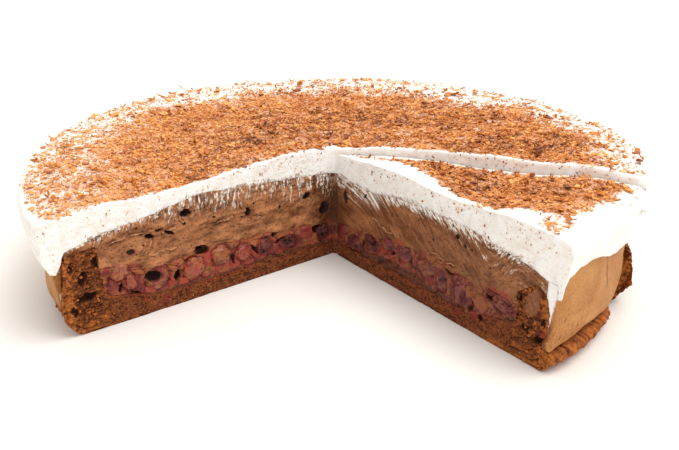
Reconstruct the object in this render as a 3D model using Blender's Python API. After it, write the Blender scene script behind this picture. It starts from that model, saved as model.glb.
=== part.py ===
import math
import random

import bmesh
import bpy
import numpy as np
from mathutils import Matrix, Vector

# A round black forest cake of 28 cm with a quarter taken out, and one cut slice
# still standing at the right of the gap.
# Angles are in degrees round the cake's axis, from the front (-Y) towards +X.
# Radii and heights are in millimetres; the meshes are in metres.
MM = 0.001
GAP = 0.3

# The slice runs from the gap's right side to the second cut, and the rest of the cake goes on from there
GAP_RIGHT_ANGLE = 36.5
SLICE_CUT_ANGLE = 66.5
CAKE_START = 66.6
GAP_LEFT_ANGLE = 307.0
CAKE_STEPS = 33
FLARE_STEP = 69.5
SLICE_STEPS = 6
SLICE_SHIFT = 3.2

# The footprint's centre is the origin, and the cake's axis lies in front of it.
AXIS_FORWARD = 14.3

# Sponge: outer side of the tin-baked rim, from the floor up and over to its inner edge
ROUND_RIM = [(131.0, 0.0), (134.4, 4.6), (135.4, 10.0), (135.6, 15.0), (135.2, 20.0),
             (134.8, 26.0), (134.8, 33.5), (130.5, 38.2), (121.0, 38.4)]
STEPPED_RIM = [(134.5, 0.0), (139.0, 4.2), (139.4, 8.6), (133.6, 10.2), (136.4, 17.0),
               (136.8, 26.0), (134.8, 32.4), (128.0, 35.2), (119.5, 29.0)]
STEPPED_RIM_END = 75.0
ROUND_RIM_START = 125.0

# The crust of the rim stands out beside the slice, and a little at the left cut
CRUST_FLARE = [0.0, -1.0, 2.0, 9.5, 6.6, 4.6, 1.5, 0.0, 0.0]
CRUST_FLARE_END = 73.0
LEFT_FLARE = [0.0, 2.2, 3.0, 3.6, 3.0, 1.2, 1.0, 0.0, 0.0]
LEFT_FLARE_START = 303.0

# Heights of each face between two layers, at radii from the axis outwards
BASE_TOP_RADII = [0.0, 50.0, 90.0, 104.0, 119.0]
BASE_TOP = [6.6, 8.0, 7.9, 11.4, 14.6]
FILLING_TOP_RADII = [0.0, 30.0, 65.0, 95.0, 112.0, 119.0]
FILLING_TOP_LEFT = [17.6, 20.5, 23.0, 21.0, 27.0, 29.0]
FILLING_TOP_RIGHT = [17.6, 21.0, 25.5, 23.0, 24.0, 24.0]
RIGHT_HEIGHTS_FADE = (90.0, 200.0)
CREAM_TOP_RADII = [0.0, 24.0, 54.0, 75.0, 98.0, 116.0, 127.0, 134.6]
CREAM_TOP_LEFT = [43.0, 46.0, 47.7, 49.2, 45.6, 43.2, 41.4, 40.0]
CREAM_TOP_RIGHT = [43.0, 42.0, 46.0, 46.0, 45.5, 43.4, 43.4, 43.6]
CAKE_TOP_RADII = [0.0, 24.0, 50.0, 75.0, 98.0, 118.0, 134.0]
CAKE_TOP_LEFT = [55.0, 57.6, 56.4, 54.4, 54.2, 55.2, 54.2]
CAKE_TOP_SLICE = [53.0, 55.4, 56.6, 55.6, 56.6, 58.4, 57.8]
CAKE_TOP_BESIDE_SLICE = [55.0, 58.6, 60.6, 61.4, 61.4, 62.6, 61.0]
BESIDE_SLICE_END = 150.0

# Coat of chocolate cream on the side, and the whipped cream that drapes over it
COAT_RIGHT = [138.0, 138.9, 138.8, 139.0]
COAT_LEFT = [136.6, 137.1, 138.0, 139.0]
COAT_HEIGHTS = [17.0, 26.0, 34.0]
COAT_LEFT_FROM = (230.0, 290.0)
COAT_THICKNESS = 1.1
COAT_START = 73.0
COAT_END = 304.0
COAT_TOP_RADIUS = 138.6
COAT_TOP_ANGLES = [36.5, 40.0, 48.0, 56.0, 73.0, 110.0, 280.0, 300.0, 307.0]
COAT_TOP_HEIGHTS = [39.4, 47.5, 47.5, 44.4, 42.6, 42.0, 42.0, 39.4, 39.4]
COAT_FOOT_ANGLES = [36.5, 45.0, 66.0, 110.0]
COAT_FOOT_HEIGHTS = [10.8, 13.0, 13.0, 11.0]
SHOULDER = [(140.8, -0.5), (143.4, -2.6), (143.7, -6.0), (142.7, -10.5)]
DRAPE_WAIST = 141.9
LEFT_CUT_SWELL = 1.3
LEFT_CUT_SWELL_START = 288.0
LIP_OUTSIDE = 1.8
LIP_ANGLES = [36.5, 37.4, 40.0, 44.0, 47.0, 50.0, 56.0, 61.0, 70.0, 85.0, 110.0, 140.0, 175.0, 210.0,
              245.0, 275.0, 307.0]
LIP_HEIGHTS = [34.0, 42.0, 45.0, 45.4, 44.2, 41.4, 40.0, 37.3, 35.0, 33.5, 37.5, 34.0, 38.0, 33.5,
               37.0, 34.5, 31.0]

# Cherries that show at a cut: radius, height, half length along the cut, half height, turn in degrees
CAKE_CHERRIES = [(112.0, 21.6, 4.6, 4.4, 20.0), (103.6, 17.2, 3.6, 4.2, -10.0), (91.4, 14.8, 4.4, 4.6, 10.0),
                 (77.2, 14.8, 4.8, 5.2, -15.0), (64.0, 15.6, 5.4, 5.6, 0.0), (51.2, 14.4, 4.4, 5.0, 15.0),
                 (39.2, 14.0, 5.0, 4.2, -30.0), (22.6, 12.8, 7.6, 3.4, 6.0), (5.4, 12.2, 3.0, 3.8, 0.0)]
SLICE_CHERRIES = [(15.0, 12.2, 3.6, 3.8, 10.0), (27.0, 14.6, 4.6, 4.2, -10.0), (40.0, 16.6, 4.4, 4.8, 20.0),
                  (52.0, 17.4, 4.8, 5.0, 0.0), (65.0, 17.8, 5.6, 4.8, -12.0), (77.0, 16.6, 4.2, 5.6, 8.0),
                  (89.0, 15.6, 4.6, 5.8, 0.0), (106.0, 18.2, 5.2, 4.0, 15.0)]
CHERRY_DEPTH = 4.4
CHERRY_INSET = 2.8

# Hollows that show at a cut, given as the cherries are
CAKE_FILLING_HOLLOWS = [(97.4, 19.0, 2.6, 1.4, 12.0), (84.6, 15.6, 1.4, 3.0, 0.0), (70.6, 20.2, 2.4, 1.3, 0.0)]
CAKE_CREAM_HOLLOWS = [(79.7, 41.6, 3.0, 2.0, 10.0), (48.5, 35.2, 2.0, 2.4, 0.0), (15.6, 34.8, 2.4, 1.6, -20.0)]
SLICE_FILLING_HOLLOWS = [(82.6, 20.6, 1.4, 1.8, 0.0), (113.6, 17.6, 1.6, 2.2, 0.0)]
HOLLOW_DEPTH = 3.4

# Shavings of milk chocolate, spread over the whole top by a sunflower rule
FLAKE_COUNT = 200
FLAKE_SEED = 11
FLAKE_REACH = 139.0
FLAKE_EDGE = 7.0
FLAKE_LENGTH = (6.0, 11.0)
FLAKE_WIDTH = (2.6, 4.4)
FLAKE_THICKNESS = 1.3
FLAKE_SINK = 0.55
FLAKE_CURL = (0.2, 1.6)
FLAKE_TILT = 0.3
FLAKE_STATIONS = [(-0.5, 0.45), (0.05, 1.0), (0.5, 0.35)]
GOLDEN_ANGLE = 137.508

# Unevenness: waves round the cake, as a count of waves and a phase in degrees
RADIUS_WAVES = [(3, 40.0, 0.25), (7, 130.0, 0.3), (11, 10.0, 0.2)]
RIM_WAVES = [(9, 20.0, 0.35), (17, 75.0, 0.4)]
HEIGHT_WAVES = [(4, 200.0, 0.5), (9, 60.0, 0.4), (13, 310.0, 0.3)]
CALM_MIDDLE = 40.0


def clearScene():
    for oldObject in list(bpy.data.objects):
        bpy.data.objects.remove(oldObject, do_unlink=True)


def linearColour(red, green, blue):
    """Turn an 8-bit screen colour into the linear colour that a shader takes."""
    channels = [value / 255.0 for value in (red, green, blue)]
    linear = [c / 12.92 if c <= 0.04045 else ((c + 0.055) / 1.055) ** 2.4 for c in channels]
    return (*linear, 1.0)


def foodMaterial(name, colour, roughness):
    material = bpy.data.materials.new(name)
    material.use_nodes = True
    shader = material.node_tree.nodes["Principled BSDF"]
    shader.inputs["Base Color"].default_value = linearColour(*colour)
    shader.inputs["Roughness"].default_value = roughness
    shader.inputs["Metallic"].default_value = 0.0
    material.diffuse_color = linearColour(*colour)
    return material


def waves(angle, waveList):
    return sum(height * math.sin(math.radians(count * angle + phase)) for count, phase, height in waveList)


def ramp(value, start, end):
    """Smooth step from 0 at start to 1 at end."""
    t = min(max((value - start) / (end - start), 0.0), 1.0)
    return t * t * (3.0 - 2.0 * t)


def mix(first, second, share):
    return (1.0 - share) * first + share * second


def blend(first, second, share):
    return [mix(a, b, share) for a, b in zip(first, second)]


def blendPoints(first, second, share):
    return [tuple(blend(a, b, share)) for a, b in zip(first, second)]


def rightShare(angle):
    """How much of the slice's own layer heights an angle has: all on the slice, none at the left cut."""
    return 1.0 - ramp(angle, *RIGHT_HEIGHTS_FADE)


def rimPoints(angle):
    points = blendPoints(STEPPED_RIM, ROUND_RIM, ramp(angle, STEPPED_RIM_END, ROUND_RIM_START))
    swell = waves(angle, RIM_WAVES)
    crust = 0.0
    if angle >= CAKE_START:
        crust = 1.0 - ramp(angle, CAKE_START, CRUST_FLARE_END)
    left = ramp(angle, LEFT_FLARE_START, GAP_LEFT_ANGLE)
    free = [swell if 1 <= index <= 5 else 0.0 for index in range(len(points))]
    flares = [crust * a + left * b for a, b in zip(CRUST_FLARE, LEFT_FLARE)]
    return [(r + wave + out, z) for (r, z), wave, out in zip(points, free, flares)]


def baseTopPoints(angle):
    return list(zip(BASE_TOP_RADII, BASE_TOP))


def fillingTopPoints(angle):
    heights = blend(FILLING_TOP_LEFT, FILLING_TOP_RIGHT, rightShare(angle))
    return list(zip(FILLING_TOP_RADII, heights))


def coatTop(angle):
    return float(np.interp(angle, COAT_TOP_ANGLES, COAT_TOP_HEIGHTS))


def creamTopPoints(angle):
    heights = blend(CREAM_TOP_LEFT, CREAM_TOP_RIGHT, rightShare(angle))
    heights[-1] = coatTop(angle)
    heights[-2] = 0.5 * (heights[-1] + heights[-3])
    return list(zip(CREAM_TOP_RADII, heights))


def cakeTopPoints(angle):
    if angle < CAKE_START:
        heights = CAKE_TOP_SLICE
    else:
        heights = blend(CAKE_TOP_BESIDE_SLICE, CAKE_TOP_LEFT, ramp(angle, CAKE_START, BESIDE_SLICE_END))
    lift = waves(angle, HEIGHT_WAVES)
    return [(r, z + lift * min(1.0, r / CALM_MIDDLE)) for r, z in zip(CAKE_TOP_RADII, heights)]


def raised(points, distance):
    return [(r, z + distance) for r, z in points]


def widened(points, distance):
    return [(r + distance, z) for r, z in points]


def spongeSection(angle):
    """Base with the rim that the tin gave it, as one piece."""
    top = raised(baseTopPoints(angle), -GAP / 2)
    inside = [(top[-1][0] + GAP, top[-1][1])]
    return [(0.0, 0.0)] + rimPoints(angle) + inside + top[-2::-1]


def fillingSection(angle):
    floor = raised(baseTopPoints(angle), GAP / 2)
    top = raised(fillingTopPoints(angle), -GAP / 2)
    return floor + top[::-1]


def chocolateCreamSection(angle):
    floor = raised(fillingTopPoints(angle), GAP / 2)
    rim = rimPoints(angle)
    overRim = [(rim[-1][0] - 1.2, rim[-1][1] + GAP), (rim[-2][0], rim[-2][1] + GAP)]
    side = (CREAM_TOP_RADII[-1], heightOnRim(rim, CREAM_TOP_RADII[-1]) + GAP)
    top = raised(creamTopPoints(angle), -GAP / 2)
    return floor + overRim + [side] + top[::-1]


def heightOnRim(rim, radius):
    """Height of the rim's rounded shoulder at a radius."""
    outer, inner = rim[-3], rim[-2]
    share = (radius - inner[0]) / (outer[0] - inner[0])
    return inner[1] + (outer[1] - inner[1]) * share


def radiusOnRim(rim, height):
    """Radius of the rim's outside at a height."""
    side = rim[:7]
    return float(np.interp(height, [z for r, z in side], [r for r, z in side]))


def coatPoints(angle):
    """Inner and outer side of the coat, from its foot upwards."""
    rim = rimPoints(angle)
    foot = float(np.interp(angle, COAT_FOOT_ANGLES, COAT_FOOT_HEIGHTS))
    heights = [foot] + COAT_HEIGHTS
    radii = blend(COAT_RIGHT, COAT_LEFT, ramp(angle, *COAT_LEFT_FROM))
    swell = waves(angle, RADIUS_WAVES)
    inner = [(radiusOnRim(rim, z) + 2 * GAP, z) for z in heights[:-1] + [rim[6][1]]]
    clear = [radiusOnRim(rim, z) + 2 * GAP + COAT_THICKNESS for z in heights]
    outer = [(max(r + swell, limit), z) for r, limit, z in zip(radii, clear, heights)]
    return inner, outer


def coatSection(angle):
    """Thin coat on the rim's outside that leaves its foot bare."""
    inner, outer = coatPoints(angle)
    shoulder = (CREAM_TOP_RADII[-1] + GAP, heightOnRim(rimPoints(angle), CREAM_TOP_RADII[-1]) + 2 * GAP)
    top = coatTop(angle) - GAP / 2
    swell = waves(angle, RADIUS_WAVES)
    return inner + [shoulder, (shoulder[0], top), (COAT_TOP_RADIUS + swell, top)] + outer[::-1]


def whippedCreamSection(angle):
    """Layer on top with the drape that hangs over the coat to an uneven lip."""
    swell = waves(angle, RADIUS_WAVES)
    floor = raised(creamTopPoints(angle), GAP / 2)
    lip = float(np.interp(angle, LIP_ANGLES, LIP_HEIGHTS))
    outer = coatPoints(angle)[1]
    overCoat = (COAT_TOP_RADIUS + swell + GAP, coatTop(angle) + GAP / 2)
    lipRadius = max(r for r, z in outer[2:]) + 2 * GAP
    top = cakeTopPoints(angle)
    spread = swell + LEFT_CUT_SWELL * ramp(angle, LEFT_CUT_SWELL_START, GAP_LEFT_ANGLE)
    edge = [(r + spread, top[-1][1] + drop) for r, drop in SHOULDER]
    waist = (DRAPE_WAIST + spread, mix(edge[-1][1], lip, 0.5))
    lipPoints = [(lipRadius, lip), (lipRadius + LIP_OUTSIDE, lip + GAP), waist]
    return floor + [overCoat] + lipPoints + edge[::-1] + top[::-1]


def faceOutwards(mesh):
    bmesh.ops.recalc_face_normals(mesh, faces=mesh.faces)
    if mesh.calc_volume(signed=True) < 0.0:
        bmesh.ops.reverse_faces(mesh, faces=mesh.faces)


def sectorMesh(section, angles, shift):
    """Sweep a closed section round the axis, with a flat face at each end."""
    mesh = bmesh.new()
    scale = 1.0 - shift / STEPPED_RIM[1][0]
    middle = math.radians(0.5 * (angles[0] + angles[-1]))
    origin = Vector((math.sin(middle), -math.cos(middle), 0.0)) * shift
    axisVertices = {}
    rings = []
    for angle in angles:
        turn = math.radians(angle)
        ring = []
        for index, (radius, height) in enumerate(section(angle)):
            spot = Vector((math.sin(turn) * radius * scale, -math.cos(turn) * radius * scale, height))
            if radius == 0.0:
                if index not in axisVertices:
                    axisVertices[index] = mesh.verts.new((spot + origin) * MM)
                ring.append((axisVertices[index], (radius, height)))
            else:
                ring.append((mesh.verts.new((spot + origin) * MM), (radius, height)))
        rings.append(ring)
    for ring, following in zip(rings, rings[1:]):
        for index, (vertex, place) in enumerate(ring):
            after = (index + 1) % len(ring)
            corners = [vertex, ring[after][0], following[after][0], following[index][0]]
            addStrip(mesh, corners, place <= ring[after][1])
    mesh.faces.new([vertex for vertex, place in rings[0]])
    mesh.faces.new([vertex for vertex, place in rings[-1]])
    faceOutwards(mesh)
    return mesh


def addStrip(mesh, corners, rising):
    """Fill one step of the sweep with two triangles, split alike on both sides of a gap."""
    distinct = list(dict.fromkeys(corners))
    if len(distinct) < 3:
        return
    if len(distinct) == 3:
        mesh.faces.new(distinct)
        return
    a, b, c, d = corners
    if rising:
        mesh.faces.new((a, b, c))
        mesh.faces.new((a, c, d))
    else:
        mesh.faces.new((a, b, d))
        mesh.faces.new((b, c, d))


def objectFromMesh(name, mesh, material):
    data = bpy.data.meshes.new(name)
    mesh.to_mesh(data)
    mesh.free()
    made = bpy.data.objects.new(name, data)
    bpy.context.scene.collection.objects.link(made)
    made.location.y = -AXIS_FORWARD * MM
    if material:
        data.materials.append(material)
    return made


def cutPlane(angle, side):
    """Axes of a cut face: outwards along it, up, and out of the cake."""
    turn = math.radians(angle)
    along = Vector((math.sin(turn), -math.cos(turn), 0.0))
    out = Vector((math.cos(turn), math.sin(turn), 0.0)) * side
    return along, out


def lump(place, plane, depth, inset, origin, growth, seed, segments=8, rings=5):
    """Uneven rounded body whose middle lies inset behind a cut face."""
    radius, height, halfLength, halfHeight, turn = place
    along, out = plane
    mesh = bmesh.new()
    bmesh.ops.create_uvsphere(mesh, u_segments=segments, v_segments=rings, radius=1.0)
    draw = random.Random(seed)
    phases = [draw.uniform(0.0, 6.283) for _ in range(3)]
    up = Vector((0.0, 0.0, 1.0))
    tilt = Matrix.Rotation(math.radians(turn), 4, out)
    centre = origin + along * radius + up * height - out * inset
    for vertex in mesh.verts:
        x, y, z = vertex.co
        bulge = 1.0 + 0.09 * math.sin(2.0 * x + phases[0]) * math.cos(2.5 * z + phases[1]) + 0.05 * math.sin(
            3.0 * y + phases[2])
        body = along * x * (halfLength * bulge + growth) + out * y * (depth * bulge + growth)
        body += up * z * (halfHeight * bulge + growth)
        vertex.co = (centre + tilt @ body) * MM
    faceOutwards(mesh)
    return mesh


def cutWith(target, cutters, operation, solver="EXACT"):
    """Apply one Boolean with a collection of bodies, and remove them."""
    collection = bpy.data.collections.new(target.name + "_tools")
    bpy.context.scene.collection.children.link(collection)
    for cutter in cutters:
        bpy.context.scene.collection.objects.unlink(cutter)
        collection.objects.link(cutter)
    boolean = target.modifiers.new("Boolean", "BOOLEAN")
    boolean.operation = operation
    boolean.operand_type = "COLLECTION"
    boolean.collection = collection
    boolean.solver = solver
    bpy.context.view_layer.update()
    evaluated = target.evaluated_get(bpy.context.evaluated_depsgraph_get())
    result = bpy.data.meshes.new_from_object(evaluated)
    target.modifiers.clear()
    target.data = result
    for cutter in cutters:
        bpy.data.objects.remove(cutter, do_unlink=True)
    bpy.data.collections.remove(collection)
    keepLargestBody(target)


def keepLargestBody(target):
    """Drop loose scraps and fill sealed hollows: only the outer shell stays."""
    mesh = bmesh.new()
    mesh.from_mesh(target.data)
    unseen = set(mesh.verts)
    shells = []
    while unseen:
        queue = [unseen.pop()]
        shell = list(queue)
        while queue:
            vertex = queue.pop()
            for edge in vertex.link_edges:
                other = edge.other_vert(vertex)
                if other in unseen:
                    unseen.remove(other)
                    shell.append(other)
                    queue.append(other)
        shells.append(shell)
    shells.sort(key=len)
    for shell in shells[:-1]:
        bmesh.ops.delete(mesh, geom=shell, context="VERTS")
    mesh.to_mesh(target.data)
    mesh.free()


def flakeMesh(draw, spot, slope):
    """Thin curled chip of chocolate with pointed ends, half sunk in the cream."""
    length = draw.uniform(*FLAKE_LENGTH)
    width = draw.uniform(*FLAKE_WIDTH)
    curl = draw.uniform(*FLAKE_CURL)
    heading = Matrix.Rotation(draw.uniform(0.0, 2.0 * math.pi), 4, "Z")
    roll = Matrix.Rotation(draw.uniform(-FLAKE_TILT, FLAKE_TILT), 4, "X")
    tilt = roll @ Matrix.Rotation(draw.uniform(-FLAKE_TILT, FLAKE_TILT), 4, "Y")
    lean = Vector((0.0, 0.0, 1.0)).rotation_difference(slope).to_matrix().to_4x4()
    place = Matrix.Translation(spot) @ lean @ heading @ tilt
    mesh = bmesh.new()
    rings = []
    for along, share in FLAKE_STATIONS:
        half = 0.5 * width * share
        lift = curl * (2.0 * along) ** 2
        ring = []
        for y, z in ((-half, -0.5), (half, -0.5), (half, 0.5), (-half, 0.5)):
            corner = Vector((along * length, y, z * FLAKE_THICKNESS + lift + (0.5 - FLAKE_SINK) * FLAKE_THICKNESS))
            ring.append(mesh.verts.new((place @ corner) * MM))
        rings.append(ring)
    for ring, following in zip(rings, rings[1:]):
        for index in range(4):
            after = (index + 1) % 4
            mesh.faces.new((ring[index], ring[after], following[after], following[index]))
    mesh.faces.new(rings[0])
    mesh.faces.new(rings[-1])
    bmesh.ops.triangulate(mesh, faces=mesh.faces)
    faceOutwards(mesh)
    return mesh


def topSpot(angle, radius, origin, scale):
    """Point and outward direction of the whipped cream's top."""
    points = cakeTopPoints(angle)
    radii = [r * scale for r, z in points]
    heights = [z for r, z in points]
    height = float(np.interp(radius, radii, heights))
    further = float(np.interp(radius + 4.0, radii, heights))
    turn = math.radians(angle)
    along = Vector((math.sin(turn), -math.cos(turn), 0.0))
    slope = Vector((0.0, 0.0, 4.0)) - along * (further - height)
    return origin + along * radius + Vector((0.0, 0.0, height)), slope.normalized()


def flakesFor(firstAngle, lastAngle, shift):
    """Chips of the sunflower spread that lie between two cuts, clear of both."""
    draw = random.Random(FLAKE_SEED)
    scale = 1.0 - shift / STEPPED_RIM[1][0]
    middle = math.radians(0.5 * (firstAngle + lastAngle))
    origin = Vector((math.sin(middle), -math.cos(middle), 0.0)) * shift
    flakes = []
    for index in range(FLAKE_COUNT):
        radius = (FLAKE_REACH - FLAKE_EDGE) * math.sqrt((index + 0.5) / FLAKE_COUNT) + draw.uniform(-2.0, 2.0)
        angle = (GOLDEN_ANGLE * index + draw.uniform(-2.0, 2.0)) % 360.0
        chance = draw.random()
        if not firstAngle < angle < lastAngle:
            continue
        nearest = min(angle - firstAngle, lastAngle - angle)
        if radius * math.sin(math.radians(min(nearest, 90.0))) < FLAKE_EDGE or radius < FLAKE_EDGE:
            continue
        spot, slope = topSpot(angle, radius, origin, scale)
        mesh = flakeMesh(random.Random(int(chance * 1e6)), spot, slope)
        flakes.append(objectFromMesh("flake", mesh, None))
    return flakes


def buildPiece(prefix, angles, shift, plane, cherries, fillingHollows, creamHollows, materials):
    """One stretch of the cake between two cuts, with its layers and the cherries at its open cut."""
    middle = math.radians(0.5 * (angles[0] + angles[-1]))
    origin = Vector((math.sin(middle), -math.cos(middle), 0.0)) * shift
    sections = {"sponge_base": spongeSection, "cherry_filling": fillingSection,
                "chocolate_cream": chocolateCreamSection, "chocolate_coat": coatSection,
                "whipped_cream": whippedCreamSection}
    layers = {}
    for layer, section in sections.items():
        layerAngles = angles
        if layer == "chocolate_coat" and shift == 0.0:
            layerAngles = [angle for angle in angles if COAT_START <= angle <= COAT_END]
        mesh = sectorMesh(section, layerAngles, shift)
        layers[layer] = objectFromMesh(prefix + "_" + layer, mesh, materials[layer])

    pockets = []
    for number, place in enumerate(cherries, start=1):
        shape = (place, plane, CHERRY_DEPTH, CHERRY_INSET, origin)
        objectFromMesh(f"{prefix}_cherry_{number:02d}", lump(*shape, 0.0, number), materials["cherry"])
        pockets.append(objectFromMesh("pocket", lump(*shape, 1.5 * GAP, number), None))
    for number, place in enumerate(fillingHollows):
        mesh = lump(place, plane, HOLLOW_DEPTH, 0.0, origin, 0.0, 40 + number, 6, 4)
        pockets.append(objectFromMesh("hollow", mesh, None))
    cutWith(layers["cherry_filling"], pockets, "DIFFERENCE")

    hollows = []
    for number, place in enumerate(creamHollows):
        mesh = lump(place, plane, HOLLOW_DEPTH, 0.0, origin, 0.0, 60 + number, 6, 4)
        hollows.append(objectFromMesh("hollow", mesh, None))
    if hollows:
        cutWith(layers["chocolate_cream"], hollows, "DIFFERENCE")
    cutWith(layers["whipped_cream"], flakesFor(angles[0], angles[-1], shift), "UNION")


def evenAngles(first, last, steps):
    return [first + (last - first) * index / steps for index in range(steps + 1)]


def build():
    clearScene()
    materials = {
        "sponge_base": foodMaterial("dark_sponge", (84, 44, 30), 0.9),
        "cherry_filling": foodMaterial("cherry_filling", (112, 56, 46), 0.45),
        "chocolate_cream": foodMaterial("chocolate_cream", (146, 96, 68), 0.6),
        "chocolate_coat": foodMaterial("chocolate_coat", (193, 138, 93), 0.6),
        "whipped_cream": foodMaterial("whipped_cream", (250, 245, 238), 0.55),
        "cherry": foodMaterial("cherry", (132, 36, 48), 0.3),
    }
    cakeAngles = [CAKE_START, FLARE_STEP] + evenAngles(COAT_START, COAT_END, CAKE_STEPS) + [GAP_LEFT_ANGLE]
    buildPiece("cake", cakeAngles, 0.0, cutPlane(GAP_LEFT_ANGLE, 1.0), CAKE_CHERRIES, CAKE_FILLING_HOLLOWS,
               CAKE_CREAM_HOLLOWS, materials)
    sliceAngles = evenAngles(GAP_RIGHT_ANGLE, SLICE_CUT_ANGLE, SLICE_STEPS)
    buildPiece("slice", sliceAngles, SLICE_SHIFT,
               cutPlane(GAP_RIGHT_ANGLE, -1.0), SLICE_CHERRIES, SLICE_FILLING_HOLLOWS, [], materials)


build()
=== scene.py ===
import math

import bmesh
import bpy
import numpy as np
from mathutils import Matrix, Vector


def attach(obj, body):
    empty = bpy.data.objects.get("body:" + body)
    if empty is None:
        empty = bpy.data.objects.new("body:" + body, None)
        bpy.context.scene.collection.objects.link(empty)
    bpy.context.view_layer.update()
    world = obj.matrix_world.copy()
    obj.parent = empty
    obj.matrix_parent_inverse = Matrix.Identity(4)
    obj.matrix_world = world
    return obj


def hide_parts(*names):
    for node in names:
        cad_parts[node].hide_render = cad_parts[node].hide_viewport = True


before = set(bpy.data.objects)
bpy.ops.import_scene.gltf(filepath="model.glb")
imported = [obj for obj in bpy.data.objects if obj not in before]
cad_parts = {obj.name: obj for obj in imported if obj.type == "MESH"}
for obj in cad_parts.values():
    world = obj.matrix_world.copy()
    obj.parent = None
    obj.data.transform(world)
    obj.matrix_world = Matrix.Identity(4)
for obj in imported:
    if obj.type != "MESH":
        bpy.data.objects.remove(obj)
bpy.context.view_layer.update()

# Black forest cake with a quarter taken out and one cut slice still in place.
# Radii and heights are in millimetres, angles in degrees from the front (-Y) towards +X.
mm = 0.001
cake = {
    "axisForward": 14.3,       # the cake's axis lies this far in front of the origin
    "gapRight": 36.5,          # open cut face of the slice
    "sliceCut": 66.5,          # second cut, between slice and cake
    "cakeStart": 66.6,
    "gapLeft": 307.0,          # open cut face of the cake
    "sliceShift": 3.2,         # the knife's cut moves the slice outwards
    "rimRadius": 139.0,
}
stretches = {
    # first and last angle, and how far the group is moved outwards
    "cake": (cake["cakeStart"], cake["gapLeft"], 0.0),
    "slice": (cake["gapRight"], cake["sliceCut"], cake["sliceShift"]),
}
openCuts = {
    # group, angle and side of the two cut faces that show
    "left": ("cake", cake["gapLeft"], 1.0),
    "right": ("slice", cake["gapRight"], -1.0),
}


# Noise and small helpers

noiseTable = np.random.RandomState(7).rand(65536)


def tableValue(ix, iy, iz, seed):
    mixed = (ix * 73856093) ^ (iy * 19349663) ^ (iz * 83492791) ^ (seed * 2654435)
    return noiseTable[(mixed ^ (mixed >> 13)) & 65535]


def softNoise(x, y, z=0.0, seed=0):
    # smooth value noise from -1 to 1
    x, y, z = np.broadcast_arrays(np.asarray(x, float), np.asarray(y, float), np.asarray(z, float))
    ix, iy, iz = (np.floor(v).astype(np.int64) for v in (x, y, z))
    fx, fy, fz = x - ix, y - iy, z - iz
    fx, fy, fz = (f * f * (3 - 2 * f) for f in (fx, fy, fz))
    total = 0.0
    for dx in (0, 1):
        for dy in (0, 1):
            for dz in (0, 1):
                weight = (fx if dx else 1 - fx) * (fy if dy else 1 - fy) * (fz if dz else 1 - fz)
                total = total + weight * tableValue(ix + dx, iy + dy, iz + dz, seed)
    return total * 2 - 1


def roughNoise(x, y, z=0.0, seed=0, octaves=3):
    total, height, size = 0.0, 1.0, 1.0
    for octave in range(octaves):
        total = total + height * softNoise(np.asarray(x) * size, np.asarray(y) * size, np.asarray(z) * size,
                                           seed + 17 * octave)
        height *= 0.5
        size *= 2.03
    return total / 1.6


def cellNoise(x, y, seed=0):
    # distance to the nearest and second nearest scattered point, and the nearest one's own number
    x, y = np.broadcast_arrays(np.asarray(x, float), np.asarray(y, float))
    ix, iy = np.floor(x).astype(np.int64), np.floor(y).astype(np.int64)
    near = np.full(x.shape, 9.0)
    second = np.full(x.shape, 9.0)
    owner = np.zeros(x.shape)
    for dx in (-1, 0, 1):
        for dy in (-1, 0, 1):
            cx, cy = ix + dx, iy + dy
            px = cx + tableValue(cx, cy, 1, seed)
            py = cy + tableValue(cx, cy, 2, seed)
            gap = np.hypot(px - x, py - y)
            closer = gap < near
            second = np.where(closer, near, np.minimum(second, gap))
            owner = np.where(closer, tableValue(cx, cy, 3, seed), owner)
            near = np.minimum(near, gap)
    return near, second, owner


def ramp(value, start, end):
    t = np.clip((np.asarray(value, float) - start) / (end - start), 0.0, 1.0)
    return t * t * (3 - 2 * t)


def mix(first, second, share):
    return first * (1 - share) + second * share


def smoothLine(points, steps=12):
    # Catmull-Rom curve through the given points
    p = np.asarray(points, float)
    p = np.vstack([2 * p[0] - p[1], p, 2 * p[-1] - p[-2]])
    t = np.linspace(0, 1, steps, endpoint=False)[:, None]
    pieces = []
    for a, b, c, d in zip(p, p[1:], p[2:], p[3:]):
        pieces.append(0.5 * (2 * b + (c - a) * t + (2 * a - 5 * b + 4 * c - d) * t ** 2
                             + (3 * b - a - 3 * c + d) * t ** 3))
    return np.vstack(pieces + [p[-2][None]])


def curveAt(r, points):
    # height of a smooth curve through the points, against radius
    line = smoothLine(points)
    return np.interp(r, line[:, 0], line[:, 1])


def tableAt(value, points):
    return np.interp(value, *np.array(points, float).T)


def lengthShares(line):
    steps = np.hypot(*np.diff(line, axis=0).T)
    run = np.concatenate([[0.0], np.cumsum(steps)])
    return run / run[-1]


def along(line, shares, wanted):
    return np.column_stack([np.interp(wanted, shares, line[:, 0]), np.interp(wanted, shares, line[:, 1])])


def radial(angle):
    turn = math.radians(angle)
    return np.array([math.sin(turn), -math.cos(turn), 0.0])


def facing(angle, side):
    turn = math.radians(angle)
    return np.array([math.cos(turn), math.sin(turn), 0.0]) * side


def groupOrigin(group):
    # the slice is moved out along its own middle
    first, last, shift = stretches[group]
    return radial(0.5 * (first + last)) * shift


# Outlines of the layers, shared by neighbours

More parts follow.
